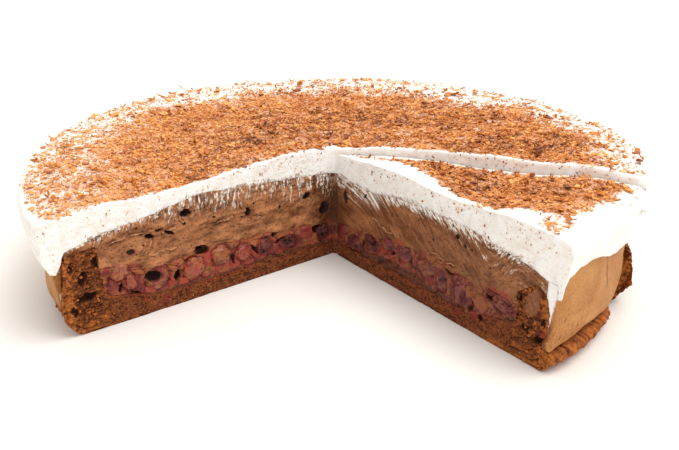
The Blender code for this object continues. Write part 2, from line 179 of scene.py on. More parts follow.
profile = {
    "roundRim": [(131, 0), (134.4, 4.6), (135.4, 10), (135.6, 15), (135.2, 20), (134.8, 26), (134.8, 33.5),
                 (130.5, 38.2), (121, 38.4)],
    "steppedRim": [(134.5, 0), (139, 4.2), (139.4, 8.6), (133.6, 10.2), (136.4, 17), (136.8, 26),
                   (134.8, 32.4), (128, 35.2), (119.5, 29)],
    "rimFade": (75.0, 125.0),
    "crustFlare": [0, -1, 2, 9.5, 6.6, 4.6, 1.5, 0, 0],
    "crustFlareEnd": 73.0,
    "leftFlare": [0, 2.2, 3.0, 3.6, 3.0, 1.2, 1.0, 0, 0],
    "leftFlareStart": 303.0,
    "ringInside": 119.3,       # here base, filling and cream end at the raised ring of sponge
    "baseTop": [(0, 6.6), (50, 8), (90, 7.9), (104, 11.4), (119, 14.6)],
    "fillingRadii": [0, 30, 65, 95, 112, 119],
    "fillingLeft": [17.6, 20.5, 23, 21, 27, 29],
    "fillingRight": [17.6, 21, 25.5, 23, 24, 24],
    "creamEdge": 134.6,
    "creamRadii": [0, 24, 54, 75, 98, 116, 127, 134.6],
    "creamLeft": [43, 46, 47.7, 49.2, 45.6, 43.2, 41.4, 40],
    "creamRight": [43, 42, 46, 46, 45.5, 43.4, 43.4, 43.6],
    "heightFade": (90.0, 200.0),
    "topRadii": [0, 24, 50, 75, 98, 118, 134],
    "topLeft": [55, 57.6, 56.4, 54.4, 54.2, 55.2, 54.2],
    "topSlice": [53, 55.4, 56.6, 55.6, 56.6, 58.4, 57.8],
    "topBesideSlice": [55, 58.6, 60.6, 61.4, 61.4, 62.6, 61],
    "besideSliceEnd": 150.0,
    "coatRight": [138.0, 138.9, 138.8, 139.0],
    "coatLeft": [136.6, 137.1, 138.0, 139.0],
    "coatHeights": [17, 26, 34],
    "coatLeftFrom": (230.0, 290.0),
    "coatThickness": 1.1,
    "coatStart": 73.0, "coatEnd": 304.0,
    "coatTopRadius": 138.6,
    "coatTopAngles": [36.5, 40, 48, 56, 73, 110, 280, 300, 307],
    "coatTopHeights": [39.4, 47.5, 47.5, 44.4, 42.6, 42, 42, 39.4, 39.4],
    "coatFootAngles": [36.5, 45, 51, 58, 66.5, 110],
    "coatFootHeights": [10.8, 13, 12.4, 9.6, 9.6, 11],
    "coatCrack": [(20, 54.2), (24, 54.0), (29, 53.1), (33, 52.6), (40, 51.8)],   # heights and angles
    "footEnd": (56.5, 61.5),   # here the slice's foot draws in under the coat
    "footDrawn": [133.0, 134.4, 134.8],
    "shoulder": [(140.8, -0.5), (143.4, -2.6), (143.7, -6.0), (142.7, -10.5)],
    "drapeWaist": 141.9,
    "leftCutSwell": 1.3, "leftCutSwellStart": 288.0,
    "lipAngles": [36.5, 37.4, 40, 44, 47, 50, 56, 61, 66.5,
                  66.6, 72, 78, 85, 110, 140, 175, 210, 245, 275, 307],
    "lipHeights": [34, 42, 45, 45.4, 44.2, 41.4, 40, 37.3, 36.4,
                   46, 41, 37, 34, 37.5, 34, 38, 33.5, 37, 34.5, 31],
    "radiusWaves": [(3, 40, 0.25), (7, 130, 0.3), (11, 10, 0.2)],
    "rimWaves": [(9, 20, 0.35), (17, 75, 0.4)],
    "heightWaves": [(4, 200, 0.5), (9, 60, 0.4), (13, 310, 0.3)],
}


def waves(angle, name):
    return sum(size * math.sin(math.radians(count * angle + phase)) for count, phase, size in profile[name])


def arcLength(angle):
    return math.radians(angle) * 140.0


def rimLine(angle):
    share = float(ramp(angle, *profile["rimFade"]))
    points = mix(np.array(profile["steppedRim"], float), np.array(profile["roundRim"], float), share)
    swell = waves(angle, "rimWaves")
    points[1:6, 0] += swell
    if angle >= cake["cakeStart"]:
        crust = 1 - float(ramp(angle, cake["cakeStart"], profile["crustFlareEnd"]))
        points[:, 0] += np.array(profile["crustFlare"]) * crust
    else:
        points[:3, 0] = mix(points[:3, 0], np.array(profile["footDrawn"]),
                            float(ramp(angle, *profile["footEnd"])))
    flare = float(ramp(angle, profile["leftFlareStart"], cake["gapLeft"]))
    points[:, 0] += np.array(profile["leftFlare"]) * flare
    return points


def fadedHeights(layer, angle):
    # from the heights at the left cut to those at the right one
    share = 1 - float(ramp(angle, *profile["heightFade"]))
    return mix(np.array(profile[layer + "Left"]), np.array(profile[layer + "Right"]), share)


def baseTopLine(angle, r):
    return curveAt(r, profile["baseTop"]) + 0.7 * roughNoise(r / 7, arcLength(angle) / 9, 0, 3)


def fillingTopLine(angle, r):
    points = np.column_stack([profile["fillingRadii"], fadedHeights("filling", angle)])
    calm = np.clip(r / 8, 0, 1)
    return curveAt(r, points) + 1.5 * calm * roughNoise(r / 8, arcLength(angle) / 9, 0, 5)


def coatTopHeight(angle):
    return float(np.interp(angle, profile["coatTopAngles"], profile["coatTopHeights"]))


def creamTopLine(angle, r):
    heights = fadedHeights("cream", angle)
    heights[-1] = coatTopHeight(angle)
    heights[-2] = 0.5 * (heights[-1] + heights[-3])
    points = np.column_stack([profile["creamRadii"], heights])
    calm = np.clip(r / 8, 0, 1) * np.clip((profile["creamEdge"] - r) / 8, 0, 1)
    return curveAt(r, points) + 1.1 * calm * roughNoise(r / 10, arcLength(angle) / 12, 0, 9)


def cakeTopLine(angle):
    if angle < cake["cakeStart"]:
        heights = np.array(profile["topSlice"], float)
    else:
        share = float(ramp(angle, cake["cakeStart"], profile["besideSliceEnd"]))
        heights = mix(np.array(profile["topBesideSlice"], float), np.array(profile["topLeft"], float), share)
    radii = np.array(profile["topRadii"], float)
    heights = heights + waves(angle, "heightWaves") * np.minimum(1, radii / 40)
    swell = waves(angle, "radiusWaves")
    swell += profile["leftCutSwell"] * float(ramp(angle, profile["leftCutSwellStart"], cake["gapLeft"]))
    edge = [(r + swell, heights[-1] + drop) for r, drop in profile["shoulder"]]
    lip = lipHeight(angle)
    waist = (profile["drapeWaist"] + swell, 0.5 * (edge[-1][1] + lip))
    return smoothLine(list(zip(radii, heights)) + edge + [waist, (lipInside(angle) + 1.8, lip + 0.3)])


def lipHeight(angle):
    # the lip runs on in small drips between the main turns
    height = float(np.interp(angle, profile["lipAngles"], profile["lipHeights"]))
    return height + 0.7 * float(roughNoise(arcLength(angle) / 9, 0.5, 0, 61))


def radiusOnRim(rim, height):
    return float(np.interp(height, rim[:7, 1], rim[:7, 0]))


def coatPoints(angle):
    rim = rimLine(angle)
    foot = float(np.interp(angle, profile["coatFootAngles"], profile["coatFootHeights"]))
    heights = [foot] + profile["coatHeights"]
    radii = mix(np.array(profile["coatRight"]), np.array(profile["coatLeft"]),
                float(ramp(angle, *profile["coatLeftFrom"])))
    swell = waves(angle, "radiusWaves")
    inner = [(radiusOnRim(rim, z) + 0.3, z) for z in heights[:-1] + [rim[6, 1]]]
    clear = [radiusOnRim(rim, z) + 0.6 + profile["coatThickness"] for z in heights]
    outer = [(max(r + swell, limit), z) for r, limit, z in zip(radii, clear, heights)]
    return inner, outer


def lipInside(angle):
    return max(r for r, z in coatPoints(angle)[1][2:]) + 0.6


def heightOnRim(rim, radius):
    outer, inner = rim[-3], rim[-2]
    return inner[1] + (outer[1] - inner[1]) * (radius - inner[0]) / (outer[0] - inner[0])


def wallLine(angle):
    # inside of the rim, from the base top up to the rim's inner edge, uneven like torn cake
    inside = profile["ringInside"]
    foot = float(baseTopLine(angle, np.array([inside]))[0])
    edge = rimLine(angle)[-1]
    t = np.linspace(0, 1, 9)
    wobble = np.sin(np.pi * t) * (0.9 + 1.5 * roughNoise(arcLength(angle) / 9, t * 3.2, 0, 63))
    return np.column_stack([mix(inside, edge[0], t) + wobble, mix(foot, edge[1], t)])


def spongeLines(angle):
    # floor and outside of the rim, against base top and inside of the rim
    inner = np.linspace(0, 118.6, 60)
    rim = smoothLine(rimLine(angle), 10)
    crumb = ramp(rim[:, 1], 0.0, 2.0) * ramp(45 - rim[:, 1], 0, 6)
    s = arcLength(angle)
    fine, coarse = roughNoise(s / 2.6, rim[:, 1] / 3.0, 0, 21), roughNoise(s / 9, rim[:, 1] / 7, 0, 23)
    rim[:, 0] += crumb * (0.5 * fine + 0.35 * coarse)
    rim[:, 0] += crumb * ramp(12 - rim[:, 1], 0, 3) * 0.75 * footRibs(s, rim[:, 1])
    if cake["cakeStart"] <= angle < profile["crustFlareEnd"] + 4:
        torn = float(ramp(angle, profile["crustFlareEnd"] + 4, profile["crustFlareEnd"] - 2))
        ragged = 1.1 * roughNoise(s / 1.7, rim[:, 1] / 1.6, 0, 25)
        bitten = 0.9 * (roughNoise(s / 3, rim[:, 1] / 2.4, 0, 26) > 0.25)
        rim[:, 0] += crumb * torn * (ragged - bitten)
    floor = np.column_stack([inner, np.zeros_like(inner)])
    lower = np.vstack([floor, rim[:-3]])
    lowerShares = np.concatenate([np.linspace(0, 0.76, len(floor)),
                                  0.76 + 0.24 * (0.02 + 0.98 * lengthShares(rim[:-3]))])
    base = np.column_stack([inner, baseTopLine(angle, inner)])
    wall = np.vstack([smoothLine(wallLine(angle), 8), rim[-2:-3:-1]])
    upper = np.vstack([base, wall])
    upperShares = np.concatenate([np.linspace(0, 0.76, len(base)),
                                  0.76 + 0.24 * (0.03 + 0.97 * lengthShares(wall))])
    return (lower, lowerShares), (upper, upperShares)


def footRibs(s, z):
    # slanting ribs round the foot, 1 on a ridge and -1 in a groove
    wander = 3.4 * softNoise(s / 5, z / 9, 0, 29)
    height = 0.6 + 0.5 * softNoise(s / 2.5, z / 3, 0, 30)
    return np.sin(s * 1.7 + z * 0.35 + wander) * height + 0.3 * roughNoise(s / 1.1, z / 1.4, 0, 32)


def fillingLines(angle):
    r = np.linspace(0, profile["ringInside"], 90)
    shares = np.linspace(0, 1, len(r))
    lower = np.column_stack([r, baseTopLine(angle, r)])
    upper = np.column_stack([r, fillingTopLine(angle, r)])
    wall = smoothLine(wallLine(angle), 8)
    upper[-1, 0] = np.interp(upper[-1, 1], wall[:, 1], wall[:, 0])
    return (lower, shares), (upper, shares)


def chocolateLines(angle):
    r = np.linspace(0, profile["ringInside"], 80)
    rim = rimLine(angle)
    edge = profile["creamEdge"]
    floor = np.column_stack([r, fillingTopLine(angle, r)])
    wall = smoothLine(wallLine(angle), 8)
    floor[-1, 0] = np.interp(floor[-1, 1], wall[:, 1], wall[:, 0])
    above = wall[wall[:, 1] > floor[-1, 1] + 0.4]
    overRim = smoothLine(rim, 10)[-11:-26:-1]
    overRim = overRim[overRim[:, 0] < 134.2]
    rise = np.vstack([above, overRim, [(edge, heightOnRim(rim, edge))]])
    lower = np.vstack([floor, rise])
    lowerShares = np.concatenate([np.linspace(0, 0.80, len(floor)), 0.81 + 0.19 * lengthShares(rise)])
    rTop = np.concatenate([np.linspace(0, 117, 80), np.linspace(117.5, edge, 20)])
    upper = np.column_stack([rTop, creamTopLine(angle, rTop)])
    upperShares = np.concatenate([np.linspace(0, 0.80, 80), np.linspace(0.81, 1.0, 20)])
    return (lower, lowerShares), (upper, upperShares)


def coatLines(angle):
    rim = rimLine(angle)
    edge = profile["creamEdge"]
    inner, outer = coatPoints(angle)
    inner = np.array(inner + [(edge, heightOnRim(rim, edge)), (edge, coatTopHeight(angle))])
    swell = waves(angle, "radiusWaves")
    s = arcLength(angle)
    outer = smoothLine(outer + [(profile["coatTopRadius"] + swell, coatTopHeight(angle))], 10)
    calm = ramp(outer[:, 1], outer[0, 1], outer[0, 1] + 3)
    slow, quick = roughNoise(s / 14, outer[:, 1] / 9, 0, 31), roughNoise(s / 5, outer[:, 1] / 2.2, 0, 33)
    outer[:, 0] += calm * (0.3 * slow + 0.12 * quick)
    outer[:, 1] += (1 - calm) * 0.7 * roughNoise(s / 5, 0.2, 0, 35)
    return (inner, lengthShares(inner)), (outer, lengthShares(outer))


def whippedLines(angle):
    # joint with the chocolate cream and the coat, against the open top and the drape
    top = cakeTopLine(angle)
    s = math.radians(angle) * top[:, 0]
    x, y = top[:, 0] * math.sin(math.radians(angle)), top[:, 0] * math.cos(math.radians(angle))
    calm = np.clip(top[:, 0] / 15, 0, 1)
    flat = ramp(138 - top[:, 0], -4, 6)
    slow, quick = roughNoise(x / 16, y / 16, 0, 41), roughNoise(x / 5, y / 5, 0, 43)
    top[:, 1] += flat * calm * (0.7 * slow + 0.35 * quick)
    slow, quick = roughNoise(s / 22, top[:, 1] / 12, 0, 45), roughNoise(s / 7, top[:, 1] / 5, 0, 47)
    top[:, 0] += (1 - flat) * (0.8 * slow + 0.3 * quick)
    turnPoint = int(np.argmax(top[:, 0] > profile["topRadii"][-1]))
    topShares = np.concatenate([0.84 * lengthShares(top[:turnPoint]),
                                0.845 + 0.155 * lengthShares(top[turnPoint:])])
    r = np.linspace(0, profile["creamEdge"], 90)
    joint = np.column_stack([r, creamTopLine(angle, r)])
    swell = waves(angle, "radiusWaves")
    lip = lipHeight(angle)
    under = np.array([(profile["coatTopRadius"] + swell, coatTopHeight(angle)),
                      (lipInside(angle) - 0.5, mix(coatTopHeight(angle), lip, 0.4)),
                      (lipInside(angle) - 0.4, lip)])
    filled = np.array([(135.8, 37.6), (136.6, 34.6), (lipInside(angle) - 0.6, lip - 0.4)])
    under = mix(under, filled, float(ramp(angle, profile["coatEnd"] + 0.2, profile["coatEnd"] + 1.4)))
    lower = np.vstack([joint, under])
    lowerShares = np.concatenate([np.linspace(0, 0.84, len(r)), [0.89, 0.94, 1.0]])
    return (lower, lowerShares), (top, topShares)


# A layer is swept round the axis on coarse rings and closed by fine cut faces

def gridFaces(rows, columns, start):
    index = start + np.arange(rows * columns).reshape(rows, columns)
    corners = (index[:-1, :-1], index[1:, :-1], index[1:, 1:], index[:-1, 1:])
    return list(zip(*(corner.ravel().tolist() for corner in corners)))


def stitch(faces, first, firstShares, second, secondShares):
    # triangles between two rows of points that run side by side
    i = j = 0
    while i < len(first) - 1 or j < len(second) - 1:
        nextFirst = firstShares[i + 1] if i < len(first) - 1 else 9.0
        nextSecond = secondShares[j + 1] if j < len(second) - 1 else 9.0
        if nextFirst <= nextSecond:
            corners = (first[i], first[i + 1], second[j])
            i += 1
        else:
            corners = (first[i], second[j + 1], second[j])
            j += 1
        if len(set(corners)) == 3:
            faces.append(corners)


def sweptLayer(group, layer):
    look = layers[layer]
    name = group + "_" + layer + "_piece"
    lines, angles = look["lines"], layerAngles(group, layer)
    upperShares, lowerShares, across = look["upper"], look["lower"], look["across"]
    columns, rows = look["grid"]
    scale = 1 - stretches[group][2] / cake["rimRadius"]
    origin = groupOrigin(group)
    edge = np.linspace(0, 1, across + 2)[1:-1]
    upperCount, lowerCount = len(upperShares), len(lowerShares)
    ringSize = upperCount + across + lowerCount
    closed = lines is not coatLines
    vertices, faces, paint, comb = [], [], [], []
    rings = []
    inward = {0: (-facing(angles[0], -1.0), abs(angles[1] - angles[0])),
              len(angles) - 1: (-facing(angles[-1], 1.0), abs(angles[-1] - angles[-2]))}
    for number, angle in enumerate(angles):
        (lower, lowerRun), (upper, upperRun) = lines(angle)
        up = along(upper, upperRun, upperShares)
        low = along(lower, lowerRun, lowerShares[::-1])
        end = up[-1] + (low[0] - up[-1]) * edge[:, None]
        loop = np.vstack([up, end, low])
        spots = origin + loop[:, :1] * scale * radial(angle) + np.outer(loop[:, 1], [0, 0, 1.0])
        if number in inward:
            direction, step = inward[number]
            spots = spots + np.minimum(1.2, 0.4 * loop[:, :1] * math.radians(step)) * direction
        first = len(vertices)
        ring = list(range(first, first + ringSize))
        if closed and rings:
            ring[0] = rings[0][0]
            ring[-1] = rings[0][-1]
        vertices.extend(spots)
        paint.extend(map(tuple, ringPaint(name, layer, angle, loop)))
        comb.extend((arcLength(angle), 0.4 * z, r) for r, z in loop)
        rings.append(ring)
    for ring, following in zip(rings, rings[1:]):
        for j in range(ringSize):
            k = (j + 1) % ringSize
            corners = tuple(dict.fromkeys((ring[j], ring[k], following[k], following[j])))
            if len(corners) > 2:
                faces.append(corners)
    for number, side in ((0, -1.0), (len(angles) - 1, 1.0)):
        angle = angles[number]
        share = 1 if faceOf(name, number == 0) != "hidden" else 4
        if (group, layer, number) == ("cake", "sponge_base", 0):
            share = 2  # its torn end stands out beside the slice
        s = np.linspace(0, 1, columns // share)
        t = np.linspace(0, 1, max(6, rows // share))
        (lower, lowerRun), (upper, upperRun) = lines(angle)
        low, up = along(lower, lowerRun, s), along(upper, upperRun, s)
        place = low[:, None, :] * (1 - t)[None, :, None] + up[:, None, :] * t[None, :, None]
        if lines is fillingLines:
            wall = smoothLine(wallLine(angle), 8)
            off = np.interp(place[-1, :, 1], wall[:, 1], wall[:, 0]) - place[-1, :, 0]
            place[..., 0] += ramp(s, 0.93, 1.0)[:, None] * off[None, :]
        r, z = place[..., 0], place[..., 1]
        lift, shades = look["relief"](name, number == 0, r, z, np.broadcast_to(s[:, None], r.shape),
                                      np.broadcast_to(t[None, :], r.shape))
        spots = (origin + r[..., None] * scale * radial(angle) + z[..., None] * np.array([0, 0, 1.0])
                 + lift[..., None] * facing(angle, side))
        first = len(vertices)
        vertices.extend(spots.reshape(-1, 3))
        paint.extend(map(tuple, shades.reshape(-1, 4)))
        comb.extend(map(tuple, combAt(faceOf(name, number == 0), r, z).reshape(-1, 3)))
        grid = first + np.arange(len(s) * len(t)).reshape(len(s), len(t))
        faces.extend(gridFaces(len(s), len(t), first))
        ring = rings[number]
        stitch(faces, grid[:, -1].tolist(), s, ring[:upperCount], upperShares)
        endShares = np.linspace(0, 1, across + 2)
        outerEnd = ring[upperCount - 1:upperCount + across + 1]
        stitch(faces, grid[-1, ::-1].tolist(), 1 - t[::-1], outerEnd, endShares)
        stitch(faces, grid[:, 0].tolist(), s, ring[upperCount + across:][::-1], lowerShares)
        stitch(faces, grid[0, :].tolist(), t, [ring[-1], ring[0]], [0.0, 1.0])
    return makeMesh(name, np.array(vertices), faces, np.array(paint), np.array(comb))


def setAttribute(data, name, kind, key, values):
    data.attributes.new(name, kind, "POINT").data.foreach_set(key, np.asarray(values, np.float32).ravel())


def makeMesh(name, vertices, faces, paint, comb=None):
    data = bpy.data.meshes.new(name)
    spots = (vertices + np.array([0, -cake["axisForward"], 0])) * mm
    data.from_pydata(spots.tolist(), [], faces)
    setAttribute(data, "paint", "FLOAT_COLOR", "color", paint)
    if comb is not None:
        setAttribute(data, "comb", "FLOAT_VECTOR", "vector", comb)
    mesh = bmesh.new()
    mesh.from_mesh(data)
    loose = [vertex for vertex in mesh.verts if not vertex.link_faces]
    bmesh.ops.delete(mesh, geom=loose, context="VERTS")
    bmesh.ops.recalc_face_normals(mesh, faces=mesh.faces)
    if mesh.calc_volume(signed=True) < 0:
        bmesh.ops.reverse_faces(mesh, faces=mesh.faces)
    mesh.to_mesh(data)
    mesh.free()
    data.shade_smooth()
    piece = bpy.data.objects.new(name, data)
    bpy.context.scene.collection.objects.link(piece)
    return piece


# Relief and paint of the cut faces; the paint's channels are smear of cream, painted shade in hollows,
# creases and cracks (with some dark colour of its own), redness and grain

def spot(r, z, place):
    # 1 in the middle of a turned ellipse, 0 from its outline on
    r0, z0, halfLength, halfHeight, turn = place
    c, s = math.cos(math.radians(turn)), math.sin(math.radians(turn))
    u = ((r - r0) * c + (z - z0) * s) / halfLength
    v = ((z - z0) * c - (r - r0) * s) / halfHeight
    return np.clip(1 - u * u - v * v, 0, 1)


def pathGap(r, z, points):
    # distance to a line of points, on a cut face
    gap = np.full(r.shape, 99.0)
    for (r1, z1), (r2, z2) in zip(points, points[1:]):
        length = (r2 - r1) ** 2 + (z2 - z1) ** 2
        t = np.clip(((r - r1) * (r2 - r1) + (z - z1) * (z2 - z1)) / length, 0, 1)
        gap = np.minimum(gap, np.hypot(r - r1 - t * (r2 - r1), z - z1 - t * (z2 - z1)))
    return gap


def paintOf(smear, hollow, redness, grain):
    channels = [np.clip(np.broadcast_to(v, np.shape(grain)), 0, 1) for v in (smear, hollow, redness, grain)]
    return np.stack(channels, axis=-1)


def faceOf(name, first):
    # which cut face: the two open ones show, the other two meet in the knife's cut
    if name.startswith("cake") and not first:
        return "left"
    if name.startswith("slice") and first:
        return "right"
    return "hidden"


def combAt(face, r, z):
    # coordinates across and along the strokes that the knife left, in millimetres
    if face == "right":
        turn = np.where(r < 100, 0.72, 0.72 - 0.3 * ramp(r, 100, 122)) - 0.5 * ramp(40 - r, 0, 25)
        across, run = r * np.sin(turn) + z * np.cos(turn), r * np.cos(turn) - z * np.sin(turn)
        return np.stack([across, 0.24 * run, 0 * r], axis=-1)
    return np.stack([r + 0.15 * z, 0.24 * z, 0 * r], axis=-1)


faces = {
    # hollows: radius, height, half length, half height, turn, depth
    "spongeHollows": {"left": [(128.6, 25.5, 2.2, 3.2, 15, 2.4), (127.4, 16.6, 5.0, 2.2, -8, 2.8),
                               (121.6, 31.5, 2.6, 2.8, 30, 1.8), (133.6, 11.5, 1.6, 2.6, 0, 1.6),
                               (133.2, 30.6, 1.2, 1.4, 0, 1.4)],
                      "right": [(120.6, 27.2, 1.8, 2.5, 0, 2.8), (131.6, 12.6, 3.4, 1.8, 28, 2.6),
                                (134.0, 21.0, 1.2, 2.2, 0, 1.2), (125.0, 15.0, 2.0, 1.6, 0, 1.4),
                                (100.7, 8.6, 1.7, 1.5, 0, 1.6)],
                      "hidden": []},
    "draggedCream": (128.0, 27.6, 3.6, 7.6, -16),
    "redBits": {"left": [(92.8, 3.8, 1.2, 3.0, 0), (101.8, 8.0, 0.7, 2.6, 0), (92.0, 5.3, 2.2, 1.6, 20),
                         (70.0, 6.6, 3.0, 1.0, 10)],
                "right": [(97.3, 7.8, 3.2, 1.5, 18), (134.0, 15.6, 2.8, 2.0, 10), (88.0, 5.6, 2.8, 1.2, 8),
                          (60.0, 7.4, 3.4, 1.0, 0)],
                "hidden": []},
    "fillingHollows": {"left": [(97.1, 16.7, 4.3, 2.9, 6, 4.0), (86.0, 14.3, 1.8, 3.2, 12, 3.2),
                                (73.2, 22.8, 4.0, 2.5, 14, 3.4), (112.6, 16.4, 1.2, 2.4, 20, 2.4),
                                (105.6, 11.6, 2.6, 1.0, 20, 2.2), (57.4, 14.0, 1.0, 2.6, 0, 1.8),
                                (34.9, 20.0, 1.4, 1.9, 0, 2.4), (45.6, 15.0, 0.9, 3.6, -38, 1.8),
                                (30.0, 15.9, 5.2, 0.9, -4, 1.8), (9.6, 16.2, 3.4, 2.4, 0, 2.6)],
                       "right": [(80.4, 22.0, 3.0, 1.3, -12, 2.8), (94.4, 12.2, 2.3, 3.6, 0, 3.0),
                                 (104.4, 20.0, 2.4, 1.4, -30, 2.4), (69.6, 18.8, 1.4, 3.6, 14, 2.6),
                                 (43.6, 17.2, 1.6, 1.2, 30, 2.0), (56.6, 17.6, 1.5, 1.3, 0, 2.0),
                                 (20.4, 12.2, 1.0, 3.0, 10, 2.2), (32.0, 15.2, 1.6, 1.0, 0, 1.6)],
                       "hidden": []},
    "creamHollows": {"left": [(73.2, 22.8, 4.2, 2.7, 14, 3.4), (79.7, 42.4, 2.9, 1.9, 12, 3.2),
                              (97.4, 36.2, 2.4, 1.2, 20, 2.4), (88.0, 35.4, 2.6, 0.8, 24, 2.0),
                              (93.0, 38.0, 1.9, 0.8, -6, 1.8), (48.5, 35.0, 1.7, 2.2, 0, 2.8),
                              (15.3, 34.7, 2.4, 1.5, -20, 3.0), (106.6, 31.4, 1.9, 1.2, 12, 0.9),
                              (80.8, 37.6, 0.9, 0.9, 0, 1.2), (66.0, 37.0, 0.7, 0.6, 0, 1.0),
                              (31.0, 33.0, 0.8, 1.0, 0, 1.0), (103.0, 41.4, 0.5, 0.5, 0, 0.7),
                              (51.6, 33.4, 0.8, 0.6, 0, 1.0), (45.0, 38.2, 0.7, 0.6, 0, 0.9),
                              (5.0, 26.0, 3.2, 3.4, 0, 1.6)],
                     "right": [(84.6, 40.0, 1.1, 1.4, -45, 1.4), (89.2, 37.4, 1.3, 0.7, -40, 1.0),
                               (93.6, 37.2, 0.7, 0.5, 0, 0.8), (22.0, 38.5, 0.8, 1.6, -50, 1.2),
                               (113.6, 43.0, 0.6, 1.1, -50, 0.9), (60.4, 39.6, 0.6, 0.5, 0, 0.7),
                               (104.0, 33.0, 0.5, 0.5, 0, 0.6), (70.0, 33.4, 0.6, 0.5, 0, 0.7),
                               (45.0, 36.2, 0.5, 0.7, 0, 0.7), (6.0, 33.0, 1.6, 3.6, 10, 1.4),
                               (53.0, 33.6, 0.9, 0.5, -30, 0.7)],
                     "hidden": []},
    # fruit in the filling: radius, height, half length, half height, turn, redness, share of cream on it
    "pulp": {"left": [(116.0, 18.7, 2.8, 3.2, 0, 0.25, 0.05), (104.0, 14.1, 2.8, 3.0, 20, 0.1, 0.0),
                      (99.0, 11.4, 3.6, 2.4, 0, 0.7, 0.5), (63.1, 11.6, 4.8, 2.9, 5, 0.5, 0.4),
                      (71.0, 18.0, 2.4, 4.0, 20, 0.9, 0.3), (45.4, 13.6, 2.2, 5.0, -40, 0.6, 0.2),
                      (34.0, 14.0, 3.0, 3.2, -30, 0.4, 0.2), (57.0, 11.0, 3.4, 2.2, 0, 0.8, 0.2),
                      (16.0, 15.5, 4.6, 3.4, 10, 0.5, 0.25), (88.6, 12.0, 2.2, 1.8, 0, 0.9, 0.1),
                      (106.6, 31.2, 2.4, 1.6, 0, 0.8, 0.5), (83.0, 11.0, 3.4, 1.6, 0, 1.0, 0.1)],
             "right": [(39.1, 15.8, 4.8, 3.2, 0, 0.9, 0.3), (52.4, 15.0, 5.6, 3.0, -10, 0.45, 0.45),
                       (3.4, 15.4, 4.6, 6.2, 0, 0.3, 0.0), (105.9, 23.4, 2.4, 1.9, 0, 0.1, 0.0),
                       (97.6, 8.6, 3.4, 1.5, -10, 1.0, 0.0), (100.6, 15.4, 4.0, 4.4, 20, 0.8, 0.6),
                       (26.0, 12.6, 3.6, 1.6, 0, 0.8, 0.1), (68.6, 14.0, 3.0, 3.0, 0, 0.5, 0.4),
                       (60.0, 18.4, 2.4, 3.0, 20, 0.3, 0.4), (93.4, 17.6, 2.6, 3.0, 0, 0.5, 0.7),
                       (32.4, 17.0, 2.4, 2.6, 0, 0.2, 0.1)],
             "hidden": []},
    # height at which the sponge under the fruit ends, against radius
    "spongeEdge": {"left": [(0, 8), (34, 9.8), (56, 8.2), (98, 9.4), (104, 10.4), (119, 15)],
                   "right": [(0, 7.4), (18, 7.6), (26, 11.6), (43, 12.8), (62, 12.0), (75, 9.6), (87, 6),
                             (100, 7.4), (108, 12), (119, 18)],
                   "hidden": [(0, 8), (119, 8)]},
    # how far the strokes of white reach down into the cream, against radius
    "whiteReach": {"left": [(0, 15), (14, 17), (30, 15), (40, 8), (50, 9), (62, 14), (84, 12), (94, 5),
                            (104, 3.6), (135, 3.0)],
                   "right": [(0, 12), (12, 13), (22, 13), (33, 11), (45, 6.5), (62, 7), (84, 7.6), (100, 6.6),
                             (120, 4.6), (135, 3)],
                   "hidden": [(0, 11), (8, 9), (13, 4), (135, 4)]},
    # cracks of the cream at the left cut, whose edges catch the light
    "folds": {"left": [[(116, 37.4), (108, 39.3), (99, 38.6), (95.6, 38.6), (90.6, 36.4), (84, 37.4),
                        (78, 40.6)],
                       [(99.6, 35.4), (100.4, 32.0), (102.0, 29.2)],
                       [(96.6, 35.6), (97.6, 32.0), (100.4, 28.8)],
                       [(82.4, 41.6), (82.0, 38.4), (81.0, 37.0)], [(98, 27.6), (92, 28.0), (86, 27.4)],
                       [(52, 40), (50, 36), (46, 33.6)], [(18, 37), (14, 33.2), (12.4, 31.6)],
                       [(74, 34.4), (66, 33.6), (56, 34.8)], [(56, 30.5), (48, 31.4), (42, 30.2)]],
              "right": [[(70, 27.2), (78, 25.8), (84, 26.4)], [(28, 30), (40, 26), (48, 27.4)]],
              "hidden": []},
}


def hollowsAt(r, z, places):
    # each listed hollow is sunk by its depth and painted dark inside: painted shade
    lift, dark = np.zeros(r.shape), np.zeros(r.shape)
    warpR = r + 0.5 * roughNoise(r / 1.6, z / 1.6, 0, 71)
    warpZ = z + 0.5 * roughNoise(r / 1.6, z / 1.6, 4, 72)
    for *place, depth in places:
        inside = spot(warpR, warpZ, place)
        lift -= depth * np.sqrt(inside)
        dark = np.maximum(dark, ramp(inside, 0.0, 0.25))
    return lift, dark


